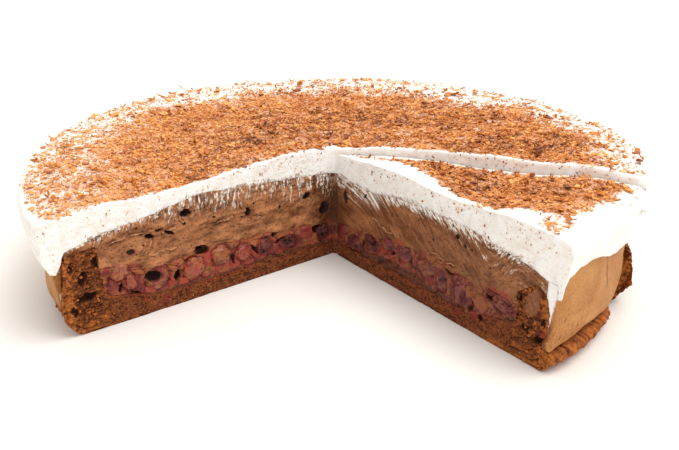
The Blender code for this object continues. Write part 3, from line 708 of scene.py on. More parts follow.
def spongeRelief(name, first, r, z, s, t):
    face = faceOf(name, first)
    ring = ramp(r + 1.5 * roughNoise(r / 4, z / 4, 0, 99), 115, 121)
    lift = (0.25 + 0.5 * ring) * roughNoise(r / 2.6, z / 2.0, 0, 101)
    lift += (0.16 + 0.2 * ring) * roughNoise(r / 0.9, z / 0.8, 0, 103)
    near, _, owner = cellNoise(r / 1.9 + 0.4 * roughNoise(r / 3, z / 3, 0, 105), z / 1.3, 107)
    pits = ramp(0.4 - near, 0, 0.22) * (owner > mix(0.62, 0.4, ring))
    bigNear, bigSecond, bigOwner = cellNoise(r / 4.6 + 0.3 * roughNoise(r / 2, z / 2, 0, 106), z / 3.0, 109)
    seams = ramp(0.22 - (bigSecond - bigNear), 0, 0.2) * (bigOwner > 0.35)
    lift -= 0.55 * pits + 0.7 * ring * seams
    holes, dark = hollowsAt(r, z, faces["spongeHollows"][face])
    redness = np.zeros(r.shape)
    for place in faces["redBits"][face]:
        redness = np.maximum(redness, ramp(spot(r + 0.4 * roughNoise(r, z, 0, 111), z, place), 0, 0.4))
    soaked = (1 - ring) * ramp(z - curveAt(r, profile["baseTop"]), -3.0, 0)
    soaked = soaked * ramp(softNoise(r / 5, z / 2, 0, 113), -0.3, 0.6) * 0.6
    # baked crust on the outside of the ring and on some of its crumb; the lower corner of the ring is painted
    # lighter in layers, partly as painted bounce light from the floor
    cornerBands = ramp(softNoise(r / 9, z / 0.9 - r / 12, 0, 114), -0.1, 0.5)
    crust = np.maximum(ramp(r, 132.2, 134.4),
                       ramp(r, 116, 127) * ramp(8.5 - z, 0, 4) * mix(0.55, 1.0, cornerBands))
    crust = np.maximum(crust, ring * 0.75 * ramp(roughNoise(r / 2.4, z / 2.0, 0, 116), -0.05, 0.5))
    smear = np.zeros(r.shape)
    if face == "right":
        # lighter along the bottom edge, as painted bounce light from the floor
        crust = np.maximum(crust, ramp(r, 92, 112) * ramp(3.6 - z, 0, 2.0) * 0.8)
        # cream dragged over the ring by the knife
        inside = spot(r + 0.8 * roughNoise(r / 2, z / 2, 0, 115), z, faces["draggedCream"])
        dragged = ramp(inside, 0.05, 0.4)
        smear = 0.85 * dragged
        lift = mix(lift, 0.35 + 0.1 * roughNoise(r / 3, z / 3, 0, 117), 0.8 * dragged)
        holes, dark, crust = holes * (1 - 0.8 * dragged), dark * (1 - dragged), crust * (1 - dragged)
    # pits, seams and the listed hollows are painted dark: painted shade in them
    hollow = np.maximum(np.clip(0.5 * pits + 0.5 * ring * seams, 0, 1) * (1 - 0.8 * smear), dark)
    calm = np.ones(r.shape) if face != "hidden" else mix(0.25, 1.0, ramp(r, 132, 134))
    if face == "hidden":
        # the end of the crust that stands out beside the slice is torn, and painted dark in the tears as
        # painted shade
        torn = ramp(r, 131, 134) * ramp(roughNoise(r / 1.7, z / 2.2, 0, 118), -0.05, 0.3)
        hollow = np.maximum(hollow, 0.8 * torn * ramp(t, 0.1, 0.3))
        lift -= 2.2 * torn
        crust = np.maximum(crust, ramp(r, 131, 134) * ramp(0.45 - t, 0, 0.3))
    lift = np.clip(calm * lift + holes, -3.5, 0.3 if face == "hidden" else 1.2)
    return lift, paintOf(smear, hollow, np.maximum(redness, soaked), crust)


def fillingRelief(name, first, r, z, s, t):
    # fruit in cream: dark hollows, single fruit, and veins of juice between
    face = faceOf(name, first)
    warpR = r + 0.9 * roughNoise(r / 4, z / 4, 0, 131)
    warpZ = z + 0.8 * roughNoise(r / 4, z / 4, 3, 132)
    near, second, owner = cellNoise(warpR / 5.6, warpZ / 3.8, 133)
    crease = ramp(0.14 - (second - near), 0, 0.14) * ramp(softNoise(r / 6, z / 5, 0, 134), -0.5, 0.3)
    lift = -0.3 + 0.8 * np.clip(1 - 1.6 * near * near, 0, 1) * owner - 0.7 * crease
    lift += 0.3 * roughNoise(r / 1.6, z / 1.3, 0, 137)
    veins = ramp(0.16 - np.abs(roughNoise(r / 5, z / 3.4, 0, 139)), 0, 0.13)
    edge = tableAt(r, faces["spongeEdge"][face]) + 0.9 * roughNoise(r / 3, 0.3, 0, 140)
    sponge = ramp(edge - z + 0.6 * roughNoise(r / 1.2, z / 1.2, 0, 142), -0.4, 0.5)
    high = ramp(z - edge + 4 * roughNoise(r / 7, z / 5, 0, 144), 1, 8)
    smear = np.clip(0.45 + 0.6 * high, 0, 1) * (1 - 0.75 * veins)
    redness = (0.42 if face == "left" else 0.26) + 0.6 * (owner - 0.5)
    redness = redness + 0.5 * roughNoise(r / 2.4, z / 2, 0, 143)
    rims = np.zeros(r.shape)
    for *place, red, cream in faces["pulp"][face]:
        inside = spot(warpR, warpZ, place)
        share = ramp(inside, 0, 0.18)
        lift = mix(lift, -0.2 + 1.5 * np.sqrt(inside) + 0.18 * roughNoise(r / 1.1, z / 1.6, 0, 145), share)
        redness = mix(redness, red + 0.3 * roughNoise(r / 1.5, z / 1.5, 0, 146), share)
        smear = mix(smear, cream + 0.4 * roughNoise(r / 2, z / 2, 0, 147), share)
        sponge = sponge * (1 - share)
        rims = np.maximum(rims, ramp(inside, 0.0, 0.03) * ramp(0.12 - inside, 0, 0.06))
    holes, dark = hollowsAt(r, z, faces["fillingHollows"][face])
    pocket = np.zeros(r.shape)
    for r0, z0, halfLength, halfHeight, turn, _ in cherries.get(face, []):
        pocket = np.maximum(pocket, spot(warpR, warpZ, (r0, z0, halfLength + 0.9, halfHeight + 0.9, turn)))
    smear = np.clip(smear, 0, 1) * (1 - 0.6 * ramp(pocket, 0.0, 0.2))
    # painted shade in the creases, the listed hollows, round the fruit and round the cherries' pockets
    hollow = 0.55 * crease * (1 - 0.6 * smear) + dark + 0.25 * rims + 0.2 * ramp(pocket, 0.05, 0.5)
    # dark patches of painted shade, heavier on the slice's cut, which lies in shade
    patches = ramp(roughNoise(r / 2.8, z / 2.2, 0, 148), 0.15, 0.55)
    hollow = np.maximum(np.clip(hollow, 0, 1), (0.6 if face == "right" else 0.4) * patches)
    # painted shade near the apex
    hollow = np.maximum(hollow, (0.65 if face == "hidden" else 0.5) * ramp(9 - r, 0, 8) * ramp(z, 10, 14))
    border = np.minimum(ramp(t, 0, 0.05), ramp(1 - t, 0, 0.05))
    calm = 1.0 if face != "hidden" else 0.2
    lift = calm * (lift * border - 1.0 * np.sqrt(pocket)) + holes
    lift = np.clip(lift, -4.0, 0.3 if face == "hidden" else 1.4) * np.clip(r / 4, 0, 1)
    # the slice's cut is painted darker all over: painted shade
    if face == "right":
        hollow = np.maximum(hollow, 0.24)
    return lift, paintOf(smear, hollow, redness, sponge)


def creamRelief(name, first, r, z, s, t):
    face = faceOf(name, first)
    fromTop = topAt("cream", name, r) - z
    ragged = 2.2 * roughNoise(r / 6, 0.4, 0, 163) + 0.8 * roughNoise(r / 1.6, 0.4, 0, 164)
    reach = tableAt(r, faces["whiteReach"][face]) + ragged
    comb = combAt(face, r, z)
    stroke = roughNoise(comb[..., 0] / 1.0, comb[..., 1] / 1.6, 0, 161)
    holes, dark = hollowsAt(r, z, faces["creamHollows"][face])
    pores = ramp(0.12 - cellNoise(r / 3.0, z / 2.6, 155)[0], 0, 0.06)
    lift = 0.3 * roughNoise(r / 9, z / 4, 0, 151) + 0.07 * roughNoise(r / 0.8, z / 0.7, 0, 153)
    fade = ramp(reach - fromTop, 0, 3.5)
    if face == "right":
        band = 0.6 * (1 - ramp(fromTop / reach, 0.0, 1.2)) + 0.3 * stroke * fade
        band = np.maximum(band, 0.4 * ramp(r, 60, 80) * ramp(13 - fromTop, 0, 5) * ramp(stroke, 0.0, 0.5))
        lift += 0.4 * stroke * fade + 0.16 * stroke
        # a lower start than on the cake's cut: painted shade on the slice's cut
        light = 0.25 + 0.3 * roughNoise(r / 9, z / 4, 0, 177) + 0.35 * stroke
    else:
        band = 0.44 * (1 - ramp(fromTop / reach, 0.0, 1.4)) + 0.35 * stroke * fade
        dark = np.maximum(dark, 0.7 * fade * ramp(roughNoise(r / 0.9, z / 0.8, 0, 169), 0.3, 0.6))
        drag = roughNoise(r / 13, z / 1.1, 0, 167)
        crumple = roughNoise(r / 4.6, z / 2.4, 0, 171)
        thread = ramp(0.035 - np.abs(crumple), 0, 0.03) * ramp(softNoise(r / 8, z / 5, 0, 173), 0.0, 0.5)
        band = np.maximum(band, 0.3 * thread)
        lift += 0.3 * drag + 0.3 * stroke * fade + 0.7 * crumple + 0.24 * roughNoise(r / 1.8, z / 1.4, 0, 168)
        # lighter where the crumples and drag marks rise: painted light on the relief; darker towards the apex
        # below: painted shade
        light = 0.5 + 0.55 * roughNoise(r / 7, z / 3.4, 0, 177) + 0.45 * crumple + 0.15 * drag
        light -= 0.8 * ramp(20 - r, 0, 18)
    cracks = np.zeros(r.shape)
    for path in faces["folds"][face]:
        gap = pathGap(r + 1.2 * roughNoise(r / 2.4, z / 2.4, 0, 157),
                      z + 0.9 * roughNoise(r / 2, z / 2, 0, 158), path)
        broken = ramp(softNoise(r / 2.2, z / 2.2, 0, 159), -0.45, 0.1)
        # the crack's edges are painted lighter and whiter as a highlight, the crack itself darker as shade
        rim = ramp(0.34 - gap, 0, 0.24) * broken
        band = np.maximum(band, 0.34 * rim)
        light = light + 0.7 * rim
        cracks = np.maximum(cracks, ramp(0.45 - np.abs(gap - 0.85), 0, 0.4) * broken)
        lift += 0.35 * ramp(0.6 - gap, 0, 0.5) * broken
    lift -= 0.5 * cracks
    bottom = z - topAt("filling", name, r)
    redness = ramp(3.6 * roughNoise(r / 6, z / 5, 0, 175) - bottom, -0.4, 0.8) * 0.8
    if face == "left":
        redness = np.maximum(redness, 0.6 * ramp(spot(r, z, (106.4, 31.2, 3.0, 2.0, 0)), 0.1, 0.6))
    border = np.minimum(ramp(s, 0, 0.02), ramp(1 - t, 0, 0.03))
    calm = 1.0 if face != "hidden" else 0.3
    lift = np.clip(calm * (lift * border - 0.5 * pores) + holes, -4.0, 0.3 if face == "hidden" else 1.2)
    lift = lift * np.clip(r / 4, 0, 1)
    shade = 0.3 * ramp(12 - r, 0, 10) * ramp(38 - z, 0, 8)
    hollow = np.clip(np.maximum(0.7 * pores, dark) + 0.3 * cracks + shade, 0, 1)
    # painted shade in the knife's cut near the apex
    if face == "hidden":
        hollow = np.maximum(hollow, 0.55 * ramp(13 - r, 0, 5) * ramp(38 - z, 0, 5))
    return lift, paintOf(band, hollow, redness, light)


def topAt(layer, name, r):
    # height of a layer's top at the open cut of the cake or of the slice
    heights = profile[layer + ("Left" if name.startswith("cake") else "Right")]
    return curveAt(r, np.column_stack([profile[layer + "Radii"], heights]))


def coatRelief(name, first, r, z, s, t):
    # at the cut only the outer part of the coat is pale, the inner part is stained by the cake
    lift = 0.2 * roughNoise(r / 2, z / 2, 0, 181)
    if faceOf(name, first) == "hidden":
        lift = np.clip(lift, -0.3, 0.3)
    onSlice = name.startswith("slice")
    stain = onSlice * ramp(0.5 - t + 0.25 * roughNoise(r / 1.5, z / 1.5, 0, 182), -0.15, 0.15)
    low = 19 + 13 * t if onSlice else 27
    white = ramp(z - low + 1.4 * roughNoise(r / 2, z / 2, 0, 184), 0, 2.5)
    if faceOf(name, first) == "left":
        # a line of cream between the cake and its coat
        white = np.maximum(white, ramp(19 - z, 0, 2) * ramp(0.8 - t, 0, 0.2))
    return lift, paintOf(white, 0.0, stain, 0.5 + 0.5 * roughNoise(r / 2, z / 2, 0, 183))


def whippedRelief(name, first, r, z, s, t):
    face = faceOf(name, first)
    fromBottom = z - topAt("cream", name, r)
    streak = roughNoise(r / 7, z / 0.9, 0, 191)
    comb = combAt(face, r, z)
    stroke = roughNoise(comb[..., 0] / 1.0, comb[..., 1] / 1.6, 0, 193)
    lift = 0.25 * roughNoise(r / 7, z / 4, 0, 195) + 0.14 * roughNoise(r / 1.3, z, 0, 197) + 0.1 * streak
    pits = ramp(0.13 - cellNoise(r / 2.6, z / 2.2, 199)[0], 0, 0.08)
    inner = ramp(131 - r, 0, 6)
    reach = 1.8 + 1.6 * roughNoise(r / 6, 0.2, 0, 201)
    fade = ramp(reach - fromBottom, 0, 2.2) * inner
    # brown drawn up into the white, with soft grey strokes above it
    smear = (0.36 * fade + 0.16 * ramp(3 + reach - fromBottom, 0, 4) + 0.25 * stroke * fade) * inner
    calm = 1.0 if face != "hidden" else 0.5
    lift = calm * (lift + 0.2 * stroke * fade) - 0.35 * pits
    lift = np.clip(lift, -1.5, 0.3 if face == "hidden" else 0.9) * np.clip(r / 4, 0, 1)
    # the pits are painted darker as well: painted shade
    return lift, paintOf(smear if face != "hidden" else 0.4 * smear, 0.35 * pits, 0.0, 0.5 + 0.5 * streak)


# Paint of the outer surfaces, ring by ring, in the same channels; redness is dust on the whipped cream

def ringPaint(name, layer, angle, loop):
    r, z = loop[:, 0], loop[:, 1]
    s = arcLength(angle)
    paint = np.zeros((len(r), 4))
    paint[:, 3] = 0.5 + 0.5 * roughNoise(s / 4, z / 3, 0, 211)
    if layer == "sponge_base":
        # baked outside with ribs round the foot; the foot painted lighter, partly as bounce light from the
        # floor, the ribs' ridges lighter and their grooves, the crumb's pits and the torn crust darker as
        # painted light and shade, and a painted shadow under the coat of the slice
        ribs = footRibs(s, z)
        foot = ramp(r, 128, 132) * ramp(12.6 - z, 0, 2)
        crumb = roughNoise(s / 2.2, z / 2.2, 0, 213)
        torn = name.startswith("cake") * float(ramp(profile["crustFlareEnd"] + 4 - angle, 0, 3))
        light = np.clip(0.45 + 0.45 * crumb + foot * (0.35 + 0.4 * ribs), 0, 1)
        holes = 0.4 * foot * ramp(-ribs, 0.1, 0.8) + 0.7 * ramp(-crumb, 0.25, 0.7) * (1 - foot)
        paint[:, 3] = np.where(r > 119.5, light, 0.2)
        paint[:, 1] = np.where(r > 119.5, holes, 0)
        paint[:, 1] = np.maximum(paint[:, 1], torn * ramp(roughNoise(s / 1.4, z / 1.3, 0, 218), 0.1, 0.5))
        paint[:, 1] = np.maximum(paint[:, 1], 0.7 * ramp(z, 9.5, 11) * ramp(13.5 - z, 0, 1)
                                 * name.startswith("slice") * (r > 128))
    if layer == "cherry_filling":
        paint[:, 3] = 0
    if layer == "whipped_cream":
        flat = ramp(z, 50, 53) * ramp(143.5 - r, 0, 3)
        paint[:, 2] = flat * shavingCover(name, angle, r)
        paint[:, 3] = 0.5
    if layer == "chocolate_coat" and name.startswith("slice"):
        # a crack down the slice's coat, painted dark as shade in it
        crack = tableAt(z, profile["coatCrack"]) + 0.35 * roughNoise(z / 2.2, 0.3, 0, 215)
        paint[:, 1] = 0.8 * ramp(0.36 - np.abs(angle - crack), 0, 0.26) * ramp(z, 21, 24) * (r > 137)
        marks = cellNoise(np.full(z.shape, s / 2.4), z / 5.0, 217)[0]
        paint[:, 1] = np.maximum(paint[:, 1], 0.8 * ramp(0.2 - marks, 0, 0.1) * ramp(27 - z, 0, 6)
                                 * ramp(50 - angle, 0, 5) * (r > 137))
    return paint


covering = {
    # outside the middle the shavings thin out; angle, where that starts and ends, and what is left
    "angles": [66, 90, 110, 140, 180, 215, 235, 260, 290, 307],
    "start": [108, 103, 100, 93, 90, 94, 98, 90, 82, 80],
    "end": [136, 134, 130, 124, 120, 124, 130, 136, 138, 138],
    "left": [0.26, 0.24, 0.23, 0.22, 0.22, 0.24, 0.34, 0.48, 0.56, 0.58],
    # bare border of the slice along its open cut, and how far out its shavings reach
    "sliceBorder": [(0, 0.5), (14, 3.6), (25, 7.5), (38, 11.2), (53, 9), (70, 5.3), (84, 3.0), (98, 2.4),
                    (106, 5.6), (112, 10), (120, 11), (128, 17), (134, 40)],
    "sliceReach": [(36.5, 120), (41, 127), (44, 130), (48, 132), (56, 134), (63, 139), (66.5, 144)],
    "borders": {"cake": (1.4, 2.6), "slice": (0.0, 1.6)},
}


def shavingCover(name, angle, r):
    # how densely the shavings lie, from 0 to 1
    group = name.split("_")[0]
    x, y = r * math.sin(math.radians(angle)), -r * math.cos(math.radians(angle))
    cover = np.ones(r.shape)
    for number, (end, border) in enumerate(zip(stretches[group], covering["borders"][group])):
        if group == "slice" and number == 0:
            border = tableAt(r, covering["sliceBorder"])
        off = min(abs(angle - end), 90.0)
        gap = r * math.sin(math.radians(off)) + 1.6 * roughNoise(x / 6, y / 6, 0, 221)
        cover = cover * ramp(gap, border - 1.2, border + 2.2)
    if group == "slice":
        limit = tableAt(angle, covering["sliceReach"])
        cover = cover * mix(1.0, 0.03, ramp(r + 3 * roughNoise(x / 7, y / 7, 0, 222), limit - 7, limit + 1))
        cover = np.maximum(cover, 0.5 * ramp(10 - np.hypot(x - 84, y + 98), 0, 6))
    else:
        start, end, left = (np.interp(angle, covering["angles"], covering[key])
                            for key in ("start", "end", "left"))
        cover = cover * mix(1.0, left, ramp(r + 9 * roughNoise(x / 20, y / 20, 0, 223), start, end))
    cover = cover * ramp(142.5 - r + 2.0 * roughNoise(x / 7, y / 7, 0, 225), 0, 3)
    patches = 0.88 + 0.34 * roughNoise(x / 9, y / 5, 0, 227)
    return np.clip(cover * patches, 0, 1)


cherries = {
    # radius, height, half length, half height, turn, kind
    "left": [(113.2, 25.0, 5.8, 5.0, 10, "coated"), (107.8, 17.4, 3.9, 4.6, -8, "pink"),
             (95.2, 15.6, 6.2, 5.4, 6, "hollowed"), (77.6, 15.0, 5.6, 5.8, -15, "pulp"),
             (64.0, 17.6, 5.8, 4.8, 0, "coated"), (52.0, 15.0, 5.3, 4.8, 15, "pink"),
             (40.0, 15.0, 5.2, 4.8, -40, "purple"), (26.2, 13.2, 7.8, 3.6, 6, "dark"),
             (5.4, 13.0, 3.8, 4.8, 0, "dark")],
    "right": [(13.8, 10.8, 5.4, 4.4, 10, "purple"), (26.4, 15.6, 5.2, 3.8, -6, "dark"),
              (39.4, 20.0, 4.6, 3.8, 10, "purple"), (50.4, 20.0, 5.0, 4.2, -10, "purple"),
              (65.0, 17.8, 5.4, 4.8, -12, "grey"), (75.0, 16.0, 4.4, 5.6, 8, "magenta"),
              (87.0, 15.6, 5.6, 8.8, 4, "magenta"), (110.8, 20.4, 5.0, 4.4, -20, "magenta")],
    "depth": 4.4, "inset": 2.8, "detail": 5,
    # redness, smear of cream, darkness for each kind; the darkness of purple and magenta is partly painted
    # shade
    "kinds": {"coated": (0.6, 1.1, 0.0), "pink": (0.6, 0.35, 0.0), "hollowed": (0.4, 0.6, 0.0),
              "pulp": (0.9, 0.45, 0.0), "purple": (0.12, 0.1, 0.2), "dark": (0.2, 0.0, 0.5),
              "grey": (0.3, 0.5, 0.15), "magenta": (0.25, 0.1, 0.25)},
    # middle and half sizes of the dark opening in a hollowed one, as shares of its own size, and its depth
    "opening": (0.3, 0.2, 0.66, 0.5, 3.8),
}


def evenAngles(first, last, step):
    return list(np.linspace(first, last, max(2, int(round((last - first) / step)) + 1)))


def shares(*runs):
    # runs of shares, given as (start, end, count)
    return np.unique(np.concatenate([np.linspace(*run) for run in runs]))


layers = {
    # steps in degrees, points across the outer end, grid of the cut faces, shares along both lines
    "sponge_base": {"lines": spongeLines, "relief": spongeRelief, "slot": "dark_sponge",
                    "cakeStep": 0.5, "sliceStep": 0.3, "across": 0, "grid": (620, 60),
                    "upper": shares((0, 0.76, 8), (0.78, 1, 6)),
                    "lower": shares((0, 0.74, 6), (0.76, 1, 56))},
    "cherry_filling": {"lines": fillingLines, "relief": fillingRelief, "slot": "cherry_filling",
                       "cakeStep": 6.0, "sliceStep": 5.0, "across": 2, "grid": (560, 76),
                       "upper": shares((0, 1, 24)), "lower": shares((0, 1, 16))},
    "chocolate_cream": {"lines": chocolateLines, "relief": creamRelief, "slot": "chocolate_cream",
                        "cakeStep": 6.0, "sliceStep": 5.0, "across": 2, "grid": (660, 96),
                        "upper": shares((0, 1, 28)), "lower": shares((0, 1, 28))},
    "chocolate_coat": {"lines": coatLines, "relief": coatRelief, "slot": "chocolate_coat",
                       "cakeStep": 0.8, "sliceStep": 0.25, "across": 2, "grid": (60, 6),
                       "upper": shares((0, 1, 44)), "lower": shares((0, 1, 12))},
    "whipped_cream": {"lines": whippedLines, "relief": whippedRelief, "slot": "whipped_cream",
                      "cakeStep": 1.2, "sliceStep": 0.6, "across": 4, "grid": (560, 44),
                      "upper": shares((0, 0.84, 120), (0.85, 1, 44)),
                      "lower": shares((0, 0.84, 16), (0.85, 1, 8))},
}


def layerAngles(group, layer):
    first, last, _ = stretches[group]
    if (group, layer) == ("cake", "chocolate_coat"):
        first, last = profile["coatStart"], profile["coatEnd"]
    return evenAngles(first, last, layers[layer][group + "Step"])


# Materials

def add(tree, kind, inputs=None, **settings):
    # a node with its settings, and its inputs linked or set
    made = tree.nodes.new(kind)
    for key, value in settings.items():
        setattr(made, key, value)
    for key, value in (inputs or {}).items():
        if isinstance(value, bpy.types.NodeSocket):
            tree.links.new(value, made.inputs[key])
        else:
            made.inputs[key].default_value = value
    return made


def maths(tree, operation, first, second=0.0):
    return add(tree, "ShaderNodeMath", {0: first, 1: second}, operation=operation).outputs["Value"]


def vectorMaths(tree, operation, first, second):
    return add(tree, "ShaderNodeVectorMath", {0: first, 1: second}, operation=operation).outputs["Vector"]


def screenColour(red, green, blue):
    channels = [value / 255 for value in (red, green, blue)]
    return tuple(c / 12.92 if c <= 0.04045 else ((c + 0.055) / 1.055) ** 2.4 for c in channels) + (1.0,)


def newGroup(name, inputs, outputs):
    group = bpy.data.node_groups.new(name, "ShaderNodeTree")
    for label, kind, value in inputs:
        socket = group.interface.new_socket(name=label, in_out="INPUT", socket_type=kind)
        if value is not None:
            socket.default_value = value
    for label, kind in outputs:
        group.interface.new_socket(name=label, in_out="OUTPUT", socket_type=kind)
    return group, add(group, "NodeGroupInput"), add(group, "NodeGroupOutput")


def mottleGroup():
    # slow and fine unevenness of tone, on object coordinates in metres
    group, source, sink = newGroup("foodMottle", [
        ("Vector", "NodeSocketVector", None), ("Coarse", "NodeSocketFloat", 120.0),
        ("Fine", "NodeSocketFloat", 900.0), ("Warp", "NodeSocketFloat", 0.4)],
        [("Tone", "NodeSocketFloat"), ("Grain", "NodeSocketFloat")])
    given = source.outputs
    coarse = add(group, "ShaderNodeTexNoise", {
        "Vector": given["Vector"], "Scale": given["Coarse"], "Detail": 3.0, "Roughness": 0.55,
        "Distortion": given["Warp"]})
    fine = add(group, "ShaderNodeTexNoise", {
        "Vector": given["Vector"], "Scale": given["Fine"], "Detail": 2.0, "Roughness": 0.6})
    group.links.new(coarse.outputs["Fac"], sink.inputs["Tone"])
    group.links.new(fine.outputs["Fac"], sink.inputs["Grain"])
    return group


def poreGroup():
    # scattered small pits: a mask and a height
    group, source, sink = newGroup("foodPores", [
        ("Vector", "NodeSocketVector", None), ("Scale", "NodeSocketFloat", 500.0),
        ("Size", "NodeSocketFloat", 0.3)],
        [("Mask", "NodeSocketFloat"), ("Height", "NodeSocketFloat")])
    given = source.outputs
    cells = add(group, "ShaderNodeTexVoronoi", {
        "Vector": given["Vector"], "Scale": given["Scale"], "Randomness": 1.0})
    edges = {"Value": cells.outputs["Distance"], "From Min": given["Size"], "From Max": 0.05}
    mask = add(group, "ShaderNodeMapRange", edges, interpolation_type="SMOOTHSTEP").outputs["Result"]
    group.links.new(mask, sink.inputs["Mask"])
    group.links.new(maths(group, "SUBTRACT", 1.0, mask), sink.inputs["Height"])
    return group


mottle = mottleGroup()
pores = poreGroup()


def newMaterial(name, roughness, coarse, fine, warp):
    # a plain material, with the tone and the grain of a mottle at these scales
    material = bpy.data.materials.new(name)
    material.use_nodes = True
    tree = material.node_tree
    shader = tree.nodes["Principled BSDF"]
    shader.inputs["Roughness"].default_value = roughness
    shader.inputs["Specular IOR Level"].default_value = 0.2
    inputs = {"Vector": objectVector(tree), "Coarse": coarse, "Fine": fine, "Warp": warp}
    spots = add(tree, "ShaderNodeGroup", inputs, node_tree=mottle)
    return material, tree, shader, spots.outputs["Tone"], spots.outputs["Grain"]


def objectVector(tree):
    return add(tree, "ShaderNodeTexCoord").outputs["Object"]


def pitted(tree, scale, size):
    inputs = {"Vector": objectVector(tree), "Scale": scale, "Size": size}
    holes = add(tree, "ShaderNodeGroup", inputs, node_tree=pores)
    return holes.outputs["Mask"], holes.outputs["Height"]


def colourMix(tree, share, first, second):
    return add(tree, "ShaderNodeMix", {0: share, 6: first, 7: second}, data_type="RGBA").outputs[2]


def layered(tree, base, coats):
    # colours laid over the base one after the other, each by its own share
    for share, colour in coats:
        base = colourMix(tree, share, base, colour)
    return base


def mapped(tree, value, low, high, toLow=0.0, toHigh=1.0):
    inputs = {"Value": value, "From Min": low, "From Max": high, "To Min": toLow, "To Max": toHigh}
    return add(tree, "ShaderNodeMapRange", inputs).outputs["Result"]


def times(tree, first, second):
    return maths(tree, "MULTIPLY", first, second)


def paintSockets(tree):
    attribute = add(tree, "ShaderNodeAttribute", attribute_name="paint")
    split = add(tree, "ShaderNodeSeparateColor", {"Color": attribute.outputs["Color"]})
    return split.outputs["Red"], split.outputs["Green"], split.outputs["Blue"], attribute.outputs["Alpha"]


def dress(tree, shader, base, height, strength, distance):
    bump = add(tree, "ShaderNodeBump", {"Strength": strength, "Distance": distance, "Height": height})
    tree.links.new(base, shader.inputs["Base Color"])
    tree.links.new(bump.outputs["Normal"], shader.inputs["Normal"])


def blurred(tree, value, noise, strength):
    # the value shifted up and down by a noise that is centred on one half
    shifted = add(tree, "ShaderNodeMath", {0: noise, 1: strength, 2: -0.5 * strength},
                  operation="MULTIPLY_ADD")
    return maths(tree, "ADD", value, shifted.outputs["Value"])


def strokeMask(tree, share):
    # fine strokes along the knife's way: the larger the share, the more of the surface they cover
    comb = add(tree, "ShaderNodeAttribute", attribute_name="comb").outputs["Vector"]
    noise = add(tree, "ShaderNodeTexNoise", {"Vector": comb, "Scale": 1.0, "Detail": 5.0, "Roughness": 0.75})
    strokes = mapped(tree, blurred(tree, share, noise.outputs["Fac"], 3.4), 0.38, 0.68)
    return times(tree, strokes, mapped(tree, share, 0.02, 0.14))


# the hollow colours paint the shade in pits, holes, creases and cracks
looks = {
    "sponge": {"dark": (78, 34, 17), "middle": (130, 68, 36), "light": (176, 104, 52),
               "crust": (190, 110, 50), "hollow": (36, 14, 7), "juice": (132, 50, 42),
               "smear": (150, 98, 68)},
    "filling": {"brown": (150, 82, 50), "red": (166, 64, 52), "purple": (104, 42, 42), "hollow": (26, 6, 6),
                "smear": (158, 92, 56)},
    "cream": {"dark": (104, 58, 30), "light": (192, 128, 84), "smear": (196, 160, 124),
              "white": (240, 232, 222), "hollow": (40, 16, 7), "juice": (150, 66, 48)},
    "coat": {"dark": (178, 116, 60), "light": (203, 144, 84), "crack": (104, 56, 30), "speck": (142, 82, 44),
             "stain": (132, 76, 42)},
    "whipped": {"light": (247, 243, 239), "shade": (237, 229, 220), "smear": (160, 126, 98),
                "dust": (206, 132, 66)},
    "cherry": {"purple": (112, 42, 46), "red": (170, 60, 50), "dark": (32, 8, 9), "flesh": (150, 84, 54),
               "smear": (158, 94, 56)},
    "shavings": {"dark": (104, 44, 14), "middle": (190, 110, 46), "light": (236, 168, 96)},
    "ground": {"light": (247, 245, 240), "shade": (244, 242, 236)},
}
colours = {name: {part: screenColour(*colour) for part, colour in parts.items()}
           for name, parts in looks.items()}


def spongeMaterial():
    material, tree, shader, tone, grain = newMaterial("dark_sponge_crumb", 0.88, 330.0, 1500.0, 0.6)
    smear, hollow, redness, crust = paintSockets(tree)
    pits, pitHeight = pitted(tree, 900.0, 0.34)
    own = colours["sponge"]
    # the pits of the pore mask and the painted hollows get the colour of painted shade
    base = layered(tree, own["dark"], [
        (mapped(tree, tone, 0.34, 0.62), own["middle"]),
        (mapped(tree, grain, 0.52, 0.74), own["light"]),
        (times(tree, crust, mapped(tree, tone, 0.3, 0.6, 0.3, 1.0)), own["crust"]),
        (times(tree, redness, 0.8), own["juice"]),
        (times(tree, smear, 0.9), own["smear"]),
        (times(tree, pits, 0.5), own["hollow"]),
        (times(tree, hollow, 0.88), own["hollow"])])
    dress(tree, shader, base, maths(tree, "ADD", grain, pitHeight), 0.8, 0.0006)
    return material


def fillingMaterial():
    material, tree, shader, tone, grain = newMaterial("cherry_filling_wet", 0.42, 340.0, 1300.0, 1.4)
    smear, hollow, redness, sponge = paintSockets(tree)
    own, crumb = colours["filling"], colours["sponge"]
    base = layered(tree, own["purple"], [
        (redness, own["red"]),
        (mapped(tree, tone, 0.5, 0.68, 0.0, 0.6), own["brown"]),
        (mapped(tree, blurred(tree, smear, tone, 0.9), 0.3, 0.7), own["smear"]),
        (sponge, colourMix(tree, mapped(tree, grain, 0.35, 0.65), crumb["dark"], crumb["middle"])),
        (times(tree, hollow, 0.94), own["hollow"])])
    tree.links.new(mapped(tree, grain, 0.35, 0.65, 0.2, 0.6), shader.inputs["Roughness"])
    dress(tree, shader, base, grain, 0.5, 0.0004)
    return material


